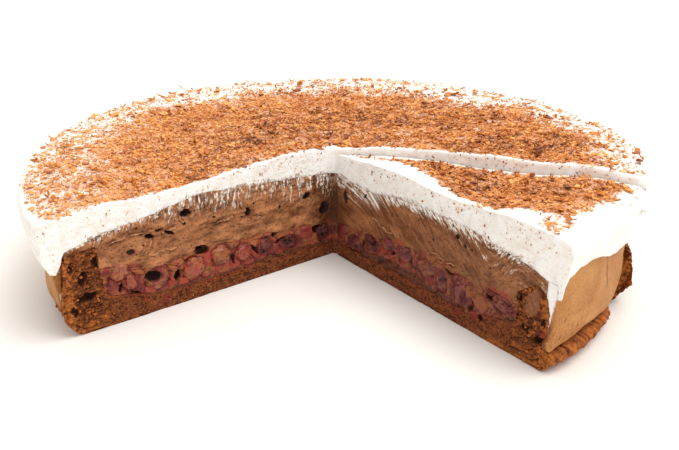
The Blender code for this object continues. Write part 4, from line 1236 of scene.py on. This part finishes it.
def creamMaterial():
    material, tree, shader, tone, grain = newMaterial("chocolate_cream_cut", 0.55, 220.0, 1400.0, 0.8)
    smear, hollow, redness, light = paintSockets(tree)
    marks = strokeMask(tree, smear)
    own = colours["cream"]
    # the pits of the pore mask and the painted hollows get the colour of painted shade
    base = layered(tree, own["dark"], [
        (light, own["light"]),
        (mapped(tree, tone, 0.52, 0.75, 0.0, 0.3), own["light"]),
        (mapped(tree, grain, 0.46, 0.32, 0.0, 0.55), own["dark"]),
        (redness, own["juice"]),
        (marks, colourMix(tree, mapped(tree, smear, 0.2, 0.55), own["smear"], own["white"])),
        (times(tree, pitted(tree, 420.0, 0.16)[0], 0.7), own["hollow"]),
        (hollow, own["hollow"])])
    dress(tree, shader, base, maths(tree, "ADD", grain, marks), 0.4, 0.0004)
    return material


def coatMaterial():
    material, tree, shader, tone, grain = newMaterial("chocolate_coat_smooth", 0.6, 90.0, 1500.0, 0.3)
    smear, hollow, stain, _ = paintSockets(tree)
    own = colours["coat"]
    base = layered(tree, own["dark"], [
        (mapped(tree, tone, 0.3, 0.7), own["light"]),
        (mapped(tree, grain, 0.52, 0.68, 0.0, 0.6), own["speck"]),
        (mapped(tree, grain, 0.46, 0.34, 0.0, 0.4), own["light"]),
        (times(tree, pitted(tree, 600.0, 0.2)[0], 0.55), own["speck"]),
        (stain, own["stain"]),
        (hollow, own["crack"]),
        (smear, colours["whipped"]["light"])])
    dress(tree, shader, base, grain, 0.8, 0.0006)
    return material


def whippedMaterial():
    material, tree, shader, tone, grain = newMaterial("whipped_cream_soft", 0.5, 220.0, 1100.0, 0.5)
    shader.inputs["Subsurface Weight"].default_value = 0.2
    shader.inputs["Subsurface Radius"].default_value = (1.0, 0.8, 0.6)
    shader.inputs["Subsurface Scale"].default_value = 0.003
    smear, hollow, dust, _ = paintSockets(tree)
    dusted = mapped(tree, blurred(tree, dust, grain, 1.4), 0.3, 0.7)
    own = colours["whipped"]
    base = layered(tree, own["light"], [
        (mapped(tree, tone, 0.4, 0.65), own["shade"]),
        (times(tree, dusted, mapped(tree, dust, 0.05, 0.8, 0.0, 0.85)), own["dust"]),
        (times(tree, strokeMask(tree, smear), mapped(tree, smear, 0.1, 0.5, 0.35, 0.95)), own["smear"]),
        (times(tree, hollow, 0.5), own["smear"])])
    dress(tree, shader, base, grain, 0.35, 0.0005)
    return material


def cherryMaterial():
    material, tree, shader, tone, grain = newMaterial("cherry_cooked", 0.4, 380.0, 1500.0, 1.2)
    shader.inputs["Specular IOR Level"].default_value = 0.3
    shader.inputs["Coat Roughness"].default_value = 0.15
    smear, hollow, redness, _ = paintSockets(tree)
    own = colours["cherry"]
    base = layered(tree, own["purple"], [
        (redness, own["red"]),
        (mapped(tree, tone, 0.48, 0.66, 0.0, 0.8), own["flesh"]),
        (times(tree, smear, mapped(tree, tone, 0.3, 0.5)), own["smear"]),
        (hollow, own["dark"])])
    wet = mapped(tree, grain, 0.35, 0.65, 0.16, 0.45)
    tree.links.new(maths(tree, "MAXIMUM", wet, hollow), shader.inputs["Roughness"])
    tree.links.new(mapped(tree, hollow, 0.1, 0.8, 0.12, 0.0), shader.inputs["Coat Weight"])
    dress(tree, shader, base, grain, 0.4, 0.0004)
    return material


def shavingMaterial(name, darker):
    material, tree, shader, tone, grain = newMaterial(name, 0.55, 90.0, 2400.0, 0.6)
    shade = add(tree, "ShaderNodeAttribute", attribute_name="tone").outputs["Fac"]
    shade = blurred(tree, shade, tone, 2.2)
    # lighter towards the border: partly painted light, standing in for brighter light there, and partly the
    # thin ones there being paler
    flat = vectorMaths(tree, "MULTIPLY", objectVector(tree), (1.0, 1.0, 0.0))
    far = add(tree, "ShaderNodeVectorMath", {0: flat, 1: (0.025, -0.015, 0.0)}, operation="DISTANCE")
    shade = maths(tree, "ADD", shade, mapped(tree, far.outputs["Value"], 0.07, 0.14, 0.0, 0.45))
    own = colours["shavings"]
    base = layered(tree, own["dark"], [
        (mapped(tree, shade, 0.0, 0.25 + darker), own["middle"]),
        (mapped(tree, shade, 0.45 + darker, 0.95), own["light"]),
        (mapped(tree, grain, 0.5, 0.7, 0.0, 0.3), own["light"])])
    dress(tree, shader, base, grain, 0.4, 0.0002)
    return material


def groundMaterial():
    material, tree, shader, tone, _ = newMaterial("pale_ground", 0.7, 3.0, 40.0, 0.0)
    ground = colourMix(tree, tone, colours["ground"]["light"], colours["ground"]["shade"])
    tree.links.new(ground, shader.inputs["Base Color"])
    return material


materials = {"sponge_base": spongeMaterial(), "cherry_filling": fillingMaterial(),
             "chocolate_cream": creamMaterial(), "chocolate_coat": coatMaterial(),
             "whipped_cream": whippedMaterial(), "cherry": cherryMaterial()}
print("materials ready")


def declare(piece, replaced=None):
    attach(piece, "root")
    if replaced:
        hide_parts(replaced)


for group in stretches:
    for layer, look in layers.items():
        piece = sweptLayer(group, layer)
        piece.data.materials.append(materials[layer])
        declare(piece, group + "_" + layer)
    print(group, "layers ready")


# Single cherries at the two open cuts: wrinkled, half collapsed, cut by the knife

def cherryPiece(group, number, place, angle, side):
    r0, z0, halfLength, halfHeight, turn, kind = place
    outwards, across = radial(angle), facing(angle, side)
    centre = outwards * r0 - across * cherries["inset"] + np.array([0, 0, z0]) + groupOrigin(group)
    ball = bmesh.new()
    bmesh.ops.create_icosphere(ball, subdivisions=cherries["detail"], radius=1.0)
    p = np.array([vertex.co for vertex in ball.verts])
    seed = 300 + number * 7 + (50 if group == "slice" else 0)
    fold = roughNoise(p[:, 0] * 1.5, p[:, 1] * 1.5, p[:, 2] * 1.5, seed)
    wrinkle = np.abs(roughNoise(p[:, 0] * 3.1 + fold, p[:, 1] * 3.1, p[:, 2] * 3.1, seed + 1))
    fine = roughNoise(p[:, 0] * 9, p[:, 1] * 9, p[:, 2] * 9, seed + 2)
    creases = ramp(0.14 - wrinkle, 0, 0.14) * ramp(fold, -0.3, 0.2)
    bulk = roughNoise(p[:, 0] * 1.05, p[:, 1] * 1.05, p[:, 2] * 1.05, seed + 3)
    radius = 1.0 + 0.34 * bulk + 0.2 * fold - 0.16 * creases + 0.04 * fine
    dent = np.clip(1 - np.sum((p - np.array([0.3, 0.7, 0.25 - 0.5 * (number % 2)])) ** 2, axis=1) / 0.3, 0, 1)
    dent = dent * (kind in ("purple", "dark", "magenta"))
    radius = radius - 0.2 * dent
    q = p * radius[:, None]
    c, s = math.cos(math.radians(turn)), math.sin(math.radians(turn))
    u, w = q[:, 0] * halfLength, q[:, 2] * halfHeight
    depth = q[:, 1] * cherries["depth"]
    # what stands out past the cut is pressed flatter
    over = depth - (cherries["inset"] + 0.7)
    depth = np.where(over > 0, cherries["inset"] + 0.7 + 0.55 * over, depth)
    opening = np.zeros(len(q))
    if kind == "hollowed":
        u0, w0, halfU, halfW, deep = cherries["opening"]
        inside = 1 - ((q[:, 0] - u0) / halfU) ** 2 - ((q[:, 2] - w0) / halfW) ** 2 + 0.2 * fold
        opening = np.clip(inside, 0, 1) * (q[:, 1] > 0)
        depth = depth - deep * np.sqrt(opening)
    spots = centre + np.outer(u * c - w * s, outwards) + np.outer(u * s + w * c, [0, 0, 1.0])
    spots += np.outer(depth, across)
    redness, smear, dark = cherries["kinds"][kind]
    stain = ramp(roughNoise(p[:, 0] * 2.6, p[:, 1] * 2.6, p[:, 2] * 2.6, seed + 4), 0.1, 0.5)
    # the creases, the dent and the opening are painted dark as shade in them
    hollow = np.maximum(dark + 0.6 * creases + 0.4 * dent + 0.35 * stain, ramp(opening, 0.05, 0.35))
    paint = paintOf(smear + 0.6 * fold, hollow, redness + 0.6 * fold + 0.25 * fine, 0.5 + 0.5 * fine)
    triangles = [tuple(vertex.index for vertex in face.verts) for face in ball.faces]
    ball.free()
    made = makeMesh(f"{group}_cherry_{number:02d}_piece", spots, triangles, paint)
    made.data.materials.append(materials["cherry"])
    declare(made, f"{group}_cherry_{number:02d}")


for face, (group, angle, side) in openCuts.items():
    for number, place in enumerate(cherries[face], start=1):
        cherryPiece(group, number, place, angle, side)
print("cherries ready")


# Shavings and crumbs, strewn by node trees over a carrier that knows how densely they lie

def carrierMesh(name, sheets):
    # sheets: grids of points with a cover from 0 to 1 at each
    vertices, quads, cover = [], [], []
    for spots, density in sheets:
        quads.extend(gridFaces(spots.shape[0], spots.shape[1], len(vertices)))
        vertices.extend(spots.reshape(-1, 3))
        cover.extend(density.ravel())
    data = bpy.data.meshes.new(name)
    data.from_pydata(((np.array(vertices) + np.array([0, -cake["axisForward"], 0])) * mm).tolist(), [], quads)
    setAttribute(data, "cover", "FLOAT", "value", cover)
    data.update()
    return data


def placedSpots(group, angle, line):
    scale = 1 - stretches[group][2] / cake["rimRadius"]
    return groupOrigin(group) + line[:, :1] * scale * radial(angle) + np.outer(line[:, 1], [0, 0, 1.0])


def topSheets():
    sheets = []
    for group, (first, last, shift) in stretches.items():
        rows, covers = [], []
        for angle in evenAngles(first, last, 1.5)[::-1]:
            upper, run = whippedLines(angle)[1]
            line = along(upper, run, np.linspace(0, 0.94, 120))
            rows.append(placedSpots(group, angle, line))
            covers.append(shavingCover(group, angle, line[:, 0]) * ramp(line[:, 1], 49, 53))
        sheets.append((np.array(rows), np.array(covers)))
    return sheets


def cutSheets(layer, cuts, cover):
    # flat sheets on the cut faces of one layer
    sheets = []
    for group, angle, side in cuts:
        (lower, lowerRun), (upper, upperRun) = layers[layer]["lines"](angle)
        s, t = np.linspace(0.03, 0.97, 60), np.linspace(0.06, 0.97, 8)
        low, up = along(lower, lowerRun, s), along(upper, upperRun, s)
        rows = []
        for share in (t if side > 0 else t[::-1]):
            line = low * (1 - share) + up * share
            rows.append(placedSpots(group, angle, line) + 0.15 * facing(angle, side))
        spots = np.array(rows)
        sheets.append((spots, cover(np.linalg.norm(spots[..., :2], axis=-1), spots[..., 2])))
    return sheets


def nodeTree(name, inputs):
    tree = bpy.data.node_groups.new(name, "GeometryNodeTree")
    tree.interface.new_socket(name="Geometry", in_out="INPUT", socket_type="NodeSocketGeometry")
    for label, kind in inputs:
        tree.interface.new_socket(name=label, in_out="INPUT", socket_type=kind)
    tree.interface.new_socket(name="Geometry", in_out="OUTPUT", socket_type="NodeSocketGeometry")
    return tree, add(tree, "NodeGroupInput"), add(tree, "NodeGroupOutput")


def randomValue(tree, kind, low, high, seed):
    places = {"FLOAT_VECTOR": (0, 1, 0), "FLOAT": (2, 3, 1), "INT": (4, 5, 2)}[kind]
    inputs = {places[0]: low, places[1]: high, "Seed": seed}
    return add(tree, "FunctionNodeRandomValue", inputs, data_type=kind).outputs[places[2]]


def unevenAt(tree, place, offset, scale, detail):
    # a noise from -0.5 to 0.5 in each direction
    shifted = vectorMaths(tree, "ADD", place, offset)
    noise = add(tree, "ShaderNodeTexNoise", {"Vector": shifted, "Scale": scale, "Detail": detail})
    return vectorMaths(tree, "SUBTRACT", noise.outputs["Color"], (0.5, 0.5, 0.5))


def asInstance(tree, mesh, moves):
    moved = add(tree, "GeometryNodeSetPosition", {"Geometry": mesh} | moves).outputs["Geometry"]
    return add(tree, "GeometryNodeGeometryToInstance", {"Geometry": moved}).outputs["Instances"]


def chipShape(tree, segments, across, proportions, curl, taper, offset, twist=0.0):
    # one chip of unit length, bent along its length, with an uneven outline
    inputs = {"Size": proportions, "Vertices X": segments, "Vertices Y": across, "Vertices Z": 2}
    block = add(tree, "GeometryNodeMeshCube", inputs)
    place = add(tree, "GeometryNodeInputPosition").outputs["Position"]
    uneven = unevenAt(tree, place, (offset, offset * 0.7, 3.1), 2.6, 1.0)
    rough = vectorMaths(tree, "ADD", place, vectorMaths(tree, "MULTIPLY", uneven, (0.5, 0.55, 0.06)))
    split = add(tree, "ShaderNodeSeparateXYZ", {0: rough})
    x, y, z = split.outputs["X"], split.outputs["Y"], split.outputs["Z"]
    narrow = maths(tree, "SUBTRACT", 1.0, times(tree, times(tree, x, x), 4.0 * taper))
    y = maths(tree, "ADD", times(tree, y, narrow), times(tree, x, twist))
    turn = times(tree, x, curl)
    arm = maths(tree, "SUBTRACT", 1.0 / curl, z)
    bentX = times(tree, arm, maths(tree, "SINE", turn))
    bentZ = maths(tree, "SUBTRACT", 1.0 / curl, times(tree, arm, maths(tree, "COSINE", turn)))
    spots = add(tree, "ShaderNodeCombineXYZ", {"X": bentX, "Y": y, "Z": bentZ})
    return asInstance(tree, block.outputs["Mesh"], {"Position": spots.outputs["Vector"]})


def shardShape(tree, corners, proportions, offset):
    # a small closed shard: an uneven pyramid, pressed flat
    inputs = {"Vertices": corners, "Radius Top": 0.0, "Radius Bottom": 0.55, "Depth": 0.5}
    block = add(tree, "GeometryNodeMeshCone", inputs, fill_type="NGON")
    place = add(tree, "GeometryNodeInputPosition").outputs["Position"]
    moved = vectorMaths(tree, "ADD", place, unevenAt(tree, place, (offset, 1.3, offset), 2.4, 2.0))
    pressed = vectorMaths(tree, "MULTIPLY", moved, proportions)
    return asInstance(tree, block.outputs["Mesh"], {"Position": pressed})


def crumbShape(tree, offset):
    ball = add(tree, "GeometryNodeMeshIcoSphere", {"Radius": 0.5, "Subdivisions": 1})
    place = add(tree, "GeometryNodeInputPosition").outputs["Position"]
    uneven = unevenAt(tree, place, (offset, 1.3, offset), 2.4, 2.0)
    moves = add(tree, "ShaderNodeVectorMath", {0: uneven, "Scale": 1.6}, operation="SCALE")
    return asInstance(tree, ball.outputs["Mesh"], {"Offset": moves.outputs["Vector"]})


def strewTree(name, makeShape, versions):
    # one of the shape's versions on each point, turned, sized and lifted at random
    tree, source, sink = nodeTree(name, [
        ("Density", "NodeSocketFloat"), ("Smallest", "NodeSocketFloat"), ("Largest", "NodeSocketFloat"),
        ("Tilt", "NodeSocketFloat"), ("Lift", "NodeSocketFloat"), ("Sink", "NodeSocketFloat"),
        ("Seed", "NodeSocketInt"), ("Material", "NodeSocketMaterial")])
    given = source.outputs
    cover = add(tree, "GeometryNodeInputNamedAttribute", {"Name": "cover"}, data_type="FLOAT")
    density = times(tree, cover.outputs["Attribute"], given["Density"])
    points = add(tree, "GeometryNodeDistributePointsOnFaces", {
        "Mesh": given["Geometry"], "Density": density, "Seed": given["Seed"]}, distribute_method="RANDOM")
    joined = add(tree, "GeometryNodeJoinGeometry")
    for version in versions:
        tree.links.new(makeShape(tree, *version), joined.inputs["Geometry"])
    seeds = [maths(tree, "ADD", given["Seed"], float(step)) for step in range(1, 7)]
    back = times(tree, given["Tilt"], -1.0)
    low = add(tree, "ShaderNodeCombineXYZ", {"X": back, "Y": back, "Z": 0.0})
    high = add(tree, "ShaderNodeCombineXYZ", {"X": given["Tilt"], "Y": given["Tilt"], "Z": 2 * math.pi})
    euler = randomValue(tree, "FLOAT_VECTOR", low.outputs["Vector"], high.outputs["Vector"], seeds[0])
    turned = add(tree, "FunctionNodeRotateRotation", {
        "Rotation": points.outputs["Rotation"],
        "Rotate By": add(tree, "FunctionNodeEulerToRotation", {"Euler": euler}).outputs["Rotation"]},
        rotation_space="LOCAL")
    # most are small
    share = maths(tree, "POWER", randomValue(tree, "FLOAT", 0.0, 1.0, seeds[1]), 1.7)
    span = maths(tree, "SUBTRACT", given["Largest"], given["Smallest"])
    size = maths(tree, "ADD", given["Smallest"], times(tree, share, span))
    uneven = randomValue(tree, "FLOAT_VECTOR", (0.85, 0.7, 0.8), (1.15, 1.35, 1.2), seeds[2])
    scale = add(tree, "ShaderNodeVectorMath", {0: uneven, "Scale": size}, operation="SCALE")
    copies = add(tree, "GeometryNodeInstanceOnPoints", {
        "Points": points.outputs["Points"], "Instance": joined.outputs["Geometry"], "Pick Instance": True,
        "Instance Index": randomValue(tree, "INT", 0, len(versions) - 1, seeds[3]),
        "Rotation": turned.outputs["Rotation"], "Scale": scale.outputs["Vector"]})
    lift = times(tree, randomValue(tree, "FLOAT", 0.0, 1.0, seeds[4]), given["Lift"])
    height = maths(tree, "SUBTRACT", lift, given["Sink"])
    rise = add(tree, "ShaderNodeCombineXYZ", {"X": 0.0, "Y": 0.0, "Z": height}).outputs["Vector"]
    lifted = add(tree, "GeometryNodeTranslateInstances", {
        "Instances": copies.outputs["Instances"], "Translation": rise, "Local Space": False})
    toned = add(tree, "GeometryNodeStoreNamedAttribute", {
        "Geometry": lifted.outputs["Instances"], "Name": "tone",
        "Value": randomValue(tree, "FLOAT", 0.0, 1.0, seeds[5])}, data_type="FLOAT", domain="INSTANCE")
    real = add(tree, "GeometryNodeRealizeInstances", {"Geometry": toned.outputs["Geometry"]})
    finished = add(tree, "GeometryNodeSetMaterial", {
        "Geometry": real.outputs["Geometry"], "Material": given["Material"]})
    tree.links.new(finished.outputs["Geometry"], sink.inputs["Geometry"])
    return tree


def strewn(name, carrier, tree, settings):
    holder = bpy.data.objects.new(name + "_carrier", carrier)
    bpy.context.scene.collection.objects.link(holder)
    modifier = holder.modifiers.new("strewn", "NODES")
    modifier.node_group = tree
    for item in tree.interface.items_tree:
        if item.item_type == "SOCKET" and item.in_out == "INPUT" and item.name in settings:
            modifier[item.identifier] = settings[item.name]
    bpy.context.view_layer.update()
    data = bpy.data.meshes.new_from_object(holder.evaluated_get(bpy.context.evaluated_depsgraph_get()))
    holder.modifiers.clear()
    bpy.data.objects.remove(holder, do_unlink=True)
    data.name = name
    piece = bpy.data.objects.new(name, data)
    bpy.context.scene.collection.objects.link(piece)
    declare(piece)
    data.calc_loop_triangles()
    print(name, len(data.loop_triangles), "triangles")


strewing = {
    # density in pieces per square metre of full cover, sizes in metres, tilt in radians
    "shavings_dust": {"Density": 800000.0, "Smallest": 0.0006, "Largest": 0.0017, "Tilt": 0.5,
                      "Lift": 0.0005, "Sink": 0.0001, "Seed": 61},
    "shavings_fine": {"Density": 260000.0, "Smallest": 0.0008, "Largest": 0.0024, "Tilt": 0.45,
                      "Lift": 0.0007, "Sink": 0.0001, "Seed": 3},
    "shavings_small": {"Density": 150000.0, "Smallest": 0.0012, "Largest": 0.0036, "Tilt": 0.35,
                       "Lift": 0.0009, "Sink": 0.0001, "Seed": 17},
    "shavings_flakes": {"Density": 17000.0, "Smallest": 0.0022, "Largest": 0.0056, "Tilt": 0.3,
                        "Lift": 0.0011, "Sink": 0.0001, "Seed": 29},
    "shavings_curls": {"Density": 3200.0, "Smallest": 0.003, "Largest": 0.0065, "Tilt": 0.35,
                       "Lift": 0.0010, "Sink": 0.0, "Seed": 41},
    "shavings_specks": {"Density": 300000.0, "Smallest": 0.0004, "Largest": 0.0013, "Tilt": 0.4,
                        "Lift": 0.0002, "Sink": 0.0001, "Seed": 71},
    "sponge_crumbs": {"Density": 180000.0, "Smallest": 0.0004, "Largest": 0.0016, "Tilt": 1.5,
                      "Lift": 0.0002, "Sink": 0.0003, "Seed": 53},
}
dustTree = strewTree("strewDust", shardShape, [
    # corners, proportions, offset of the noise
    (3, (1.0, 0.7, 0.5), 1.0), (4, (1.2, 0.6, 0.4), 4.0), (3, (1.4, 0.5, 0.4), 9.0)])
grainTree = strewTree("strewGrains", chipShape, [
    # points along and across, proportions, curl, taper, offset of the noise, twist
    (2, 2, (1.0, 0.5, 0.22), 0.4, 0.0, 1.0), (2, 2, (0.8, 0.62, 0.2), 0.5, 0.0, 7.0),
    (2, 2, (1.2, 0.34, 0.2), 0.3, 0.0, 13.0)])
chipTree = strewTree("strewChips", chipShape, [
    (3, 2, (1.0, 0.42, 0.13), 0.9, 0.1, 1.0), (3, 2, (1.0, 0.3, 0.12), 1.6, 0.2, 5.0),
    (3, 2, (0.9, 0.5, 0.12), 0.5, 0.1, 9.0), (3, 2, (1.2, 0.22, 0.11), 1.9, 0.0, 14.0)])
flakeTree = strewTree("strewFlakes", chipShape, [
    (4, 3, (1.0, 0.42, 0.09), 0.9, 0.25, 2.0), (4, 3, (1.0, 0.34, 0.08), 1.9, 0.3, 6.0),
    (4, 3, (0.9, 0.5, 0.08), 0.6, 0.15, 11.0), (4, 3, (1.1, 0.26, 0.08), 2.6, 0.2, 17.0)])
curlTree = strewTree("strewCurls", chipShape, [
    (9, 3, (1.0, 0.24, 0.035), 4.2, 0.1, 3.0, 0.2), (9, 3, (1.0, 0.3, 0.035), 5.6, 0.2, 8.0, 0.35),
    (9, 3, (1.0, 0.2, 0.035), 3.2, 0.1, 12.0, 0.1)])
crumbTree = strewTree("strewCrumbs", crumbShape, [(1.0,), (4.0,), (9.0,), (15.0,)])


def whiteCover(r, z):
    return 0.14 + 0.5 * ramp(z, 48, 57)


def bridgeCover(r, z):
    # the cake's cut face shows above the slice
    return 0.5 * ramp(z, 54, 60) * ramp(r, 15, 50)


def carrier(name, onCuts):
    # specks also stick to the cut faces of the white cream
    sheets = topSheets()
    if onCuts:
        sheets = [(spots, 0.1 * cover) for spots, cover in sheets]
        sheets += cutSheets("whipped_cream", openCuts.values(), whiteCover)
        sheets += cutSheets("whipped_cream", [("cake", cake["cakeStart"], -1.0)], bridgeCover)
    return carrierMesh(name, sheets)


light = shavingMaterial("milk_chocolate_grains", 0.0)
dark = shavingMaterial("milk_chocolate_shavings", 0.3)
for name, tree, material, onCuts in (
        ("shavings_dust", dustTree, light, False), ("shavings_fine", grainTree, light, False),
        ("shavings_small", chipTree, light, False), ("shavings_flakes", flakeTree, dark, False),
        ("shavings_curls", curlTree, dark, False), ("shavings_specks", dustTree, dark, True)):
    strewn(name, carrier(name, onCuts), tree, strewing[name] | {"Material": material})


# Large flakes and curls that stand out, laid one by one

flakes = {
    # radius, angle, length, width, turn, tilt, curl, tone; sizes in millimetres
    "cake": [(140.0, 225.6, 5.0, 3.6, 20, 25, 0.8, 0.05), (138.8, 222.5, 7.0, 3.0, 70, 15, 1.2, 0.2),
             (141.2, 218.2, 9.5, 2.8, 35, 28, 1.0, 0.3), (142.0, 215.9, 5.0, 2.0, 50, 30, 0.8, 0.35),
             (135.5, 230.0, 8.0, 2.0, 60, 6, 0.6, 0.25), (134.6, 221.0, 5.0, 2.6, 95, 12, 1.0, 0.3),
             (137.0, 233.5, 4.2, 1.6, 15, 8, 0.6, 0.5), (121.7, 189.2, 8.5, 3.2, 95, 16, 1.3, 0.2),
             (126.0, 185.0, 5.0, 2.8, 60, 10, 0.9, 0.3), (112.0, 196.0, 7.0, 2.0, 85, 5, 0.8, 0.1),
             (106.0, 203.0, 8.0, 2.2, 100, 6, 0.6, 0.3), (117.3, 142.8, 6.5, 3.2, 110, 18, 1.2, 0.1),
             (128.3, 139.6, 5.4, 2.6, 80, 12, 1.0, 0.3), (125.5, 121.7, 6.0, 3.0, 120, 14, 1.2, 0.2),
             (131.0, 160.0, 5.0, 2.4, 100, 10, 0.8, 0.4), (109.0, 172.0, 6.0, 1.8, 95, 4, 0.6, 0.1),
             (116.0, 168.0, 8.0, 1.8, 85, 5, 0.8, 0.2), (139.5, 74.5, 5.0, 2.6, 60, 20, 1.2, 0.15),
             (133.0, 80.0, 4.0, 2.0, 20, 14, 1.0, 0.3), (138.0, 290.0, 4.6, 2.4, 40, 14, 1.0, 0.3),
             (141.0, 262.0, 4.4, 2.0, 10, 20, 1.0, 0.4), (96.0, 71.5, 4.2, 3.4, 40, 30, 0.8, 0.05)],
    "slice": [(114.5, 58.1, 5.6, 2.8, 95, 10, 0.8, 0.0), (95.8, 64.0, 5.0, 2.4, 80, 14, 1.2, 0.1),
              (137.0, 63.4, 8.5, 2.4, 100, 2, 0.4, 0.75), (127.5, 61.6, 6.0, 1.8, 95, 5, 0.8, 0.3),
              (123.7, 45.3, 4.6, 2.4, 70, 10, 1.0, 0.2), (131.0, 43.0, 4.8, 2.6, 110, 10, 1.2, 0.25),
              (124.7, 55.5, 5.0, 2.4, 60, 8, 0.8, 0.1), (104.0, 52.0, 4.4, 2.2, 100, 8, 0.9, 0.1),
              (84.0, 50.0, 4.0, 2.0, 80, 10, 1.0, 0.1), (60.0, 60.0, 4.6, 2.0, 70, 12, 1.2, 0.1)],
    "thickness": 0.3, "lift": 0.7,
}


def bentStrip(length, width, curl, seed, columns=9, rows=4):
    # a thin closed strip, curled along its length, with a torn outline
    u, v = np.meshgrid(np.linspace(-0.5, 0.5, columns), np.linspace(-0.5, 0.5, rows), indexing="ij")
    torn = 1 + 0.35 * softNoise(u * 5, v * 2 + seed, 0, 401)
    x, y = u * length * (1 + 0.12 * softNoise(v * 4, seed, 0, 402)), v * width * torn * (1 - 1.2 * u * u)
    bow = curl / length
    z = (1 - np.cos(x * bow)) / bow + 0.12 * softNoise(u * 6, v * 3, seed, 403)
    x = np.sin(x * bow) / bow
    sheet = np.stack([x, y, z], axis=-1)
    under = sheet - np.array([0, 0, flakes["thickness"]])
    return np.concatenate([sheet.reshape(-1, 3), under.reshape(-1, 3)]), columns, rows


def stripFaces(columns, rows, start):
    top = gridFaces(columns, rows, start)
    offset = columns * rows
    bottom = [tuple(corner + offset for corner in quad[::-1]) for quad in top]
    index = start + np.arange(offset).reshape(columns, rows)
    rim = np.concatenate([index[:, 0], index[-1, 1:], index[-2::-1, -1], index[0, -2:0:-1]]).tolist()
    sides = [(b, a, a + offset, b + offset) for a, b in zip(rim, rim[1:] + rim[:1])]
    return top + bottom + sides


def placedFlakes():
    vertices, quads, shade = [], [], []
    placed = [(group, *place) for group in stretches for place in flakes[group]]
    for number, (group, r, angle, length, width, turn, tilt, curl, shadeValue) in enumerate(placed):
        points, columns, rows = bentStrip(length, width, curl, number * 1.7)
        top = cakeTopLine(angle)
        flat = top[:int(np.argmax(top[:, 0])) + 1]
        height = float(np.interp(r, flat[:, 0], flat[:, 1])) + flakes["lift"]
        centre = placedSpots(group, angle, np.array([[r, height]]))[0]
        move = Matrix.Rotation(math.radians(turn), 3, "Z") @ Matrix.Rotation(math.radians(tilt), 3, "Y")
        quads.extend(stripFaces(columns, rows, len(vertices)))
        centre[2] += 0.3 * length * math.sin(math.radians(tilt))
        vertices.extend(points @ np.array(move).T + centre)
        shade.extend([shadeValue] * len(points))
    piece = makeMesh("shavings_large", np.array(vertices), quads, np.zeros((len(vertices), 4)))
    setAttribute(piece.data, "tone", "FLOAT", "value", shade)
    piece.data.materials.append(dark)
    declare(piece)
    print("shavings_large", 2 * len(quads), "triangles")


placedFlakes()


def spongeCover(r, z):
    return (0.03 + 0.5 * ramp(r, 118, 122)) * ramp(z, 1.0, 1.8)


def rimSheets():
    # outside of the rim, thick with crumbs at the foot and where the crust stands out beside the slice
    sheets = []
    for group, (first, last, shift) in stretches.items():
        rows, covers = [], []
        for angle in evenAngles(first, last, 1.0)[::-1]:
            lower, run = spongeLines(angle)[0]
            rim = lower[60:]
            line = along(rim, lengthShares(rim), np.linspace(0, 1, 40))
            rows.append(placedSpots(group, angle, line)[::-1])
            bare = ramp(13 - line[:, 1], -1, 2) * 0.3
            crust = ramp(73.5 - angle, 0, 5) if group == "cake" else 0.0
            flap = ramp(angle, 303.5, 305.5) * 0.8
            covers.append(np.maximum(bare, np.maximum(crust, flap))[::-1] * ramp(line[::-1, 1], 1.2, 2.4))
        sheets.append((np.array(rows), np.array(covers)))
    return sheets


crumbSheets = cutSheets("sponge_base", openCuts.values(), spongeCover) + rimSheets()
strewn("sponge_crumbs", carrierMesh("crumbs", crumbSheets), crumbTree,
       strewing["sponge_crumbs"] | {"Material": materials["sponge_base"]})
print("shavings and crumbs ready")


# Floor, light and camera

studio = {
    "floorReach": 4.0,
    # place, size in metres, power in watts, colour
    "lamps": {"key": ((0.5, -0.12, 1.15), 1.1, 12.0, (1.0, 0.99, 0.975)),
              "back": ((-0.3, 1.1, 1.0), 1.1, 7.5, (1.0, 0.995, 0.98))},
    "lampTarget": (0, 0, 0.03),
    "worldColour": (1.0, 0.99, 0.975, 1.0), "worldStrength": 0.82,
    "lens": 45.93, "sensorWidth": 36.0,
    "cameraPlace": (0.0, -0.4088, 0.1897), "cameraDirection": (0.0080, 0.9147, -0.4042),
}

floorMesh = bmesh.new()
bmesh.ops.create_grid(floorMesh, x_segments=8, y_segments=8, size=studio["floorReach"])
floorData = bpy.data.meshes.new("floor")
floorMesh.to_mesh(floorData)
floorMesh.free()
floorData.materials.append(groundMaterial())
floor = bpy.data.objects.new("floor", floorData)
bpy.context.scene.collection.objects.link(floor)

for name, (place, size, power, colour) in studio["lamps"].items():
    lamp = bpy.data.lights.new(name, "AREA")
    lamp.shape = "SQUARE"
    lamp.size = size
    lamp.energy = power
    lamp.color = colour
    lampObject = bpy.data.objects.new(name, lamp)
    lampObject.location = place
    direction = Vector(studio["lampTarget"]) - Vector(place)
    lampObject.rotation_euler = direction.to_track_quat("-Z", "Y").to_euler()
    bpy.context.scene.collection.objects.link(lampObject)
world = bpy.data.worlds.new("studio")
world.use_nodes = True
world.node_tree.nodes["Background"].inputs["Color"].default_value = studio["worldColour"]
world.node_tree.nodes["Background"].inputs["Strength"].default_value = studio["worldStrength"]
bpy.context.scene.world = world
bpy.context.scene.view_settings.view_transform = "Standard"

camera = bpy.data.cameras.new("camera")
camera.lens = studio["lens"]
camera.sensor_width = studio["sensorWidth"]
cameraObject = bpy.data.objects.new("camera", camera)
bpy.context.scene.collection.objects.link(cameraObject)
cameraObject.location = studio["cameraPlace"]
cameraObject.rotation_euler = Vector(studio["cameraDirection"]).to_track_quat("-Z", "Y").to_euler()
bpy.context.scene.camera = cameraObject
print("floor, light and camera ready")
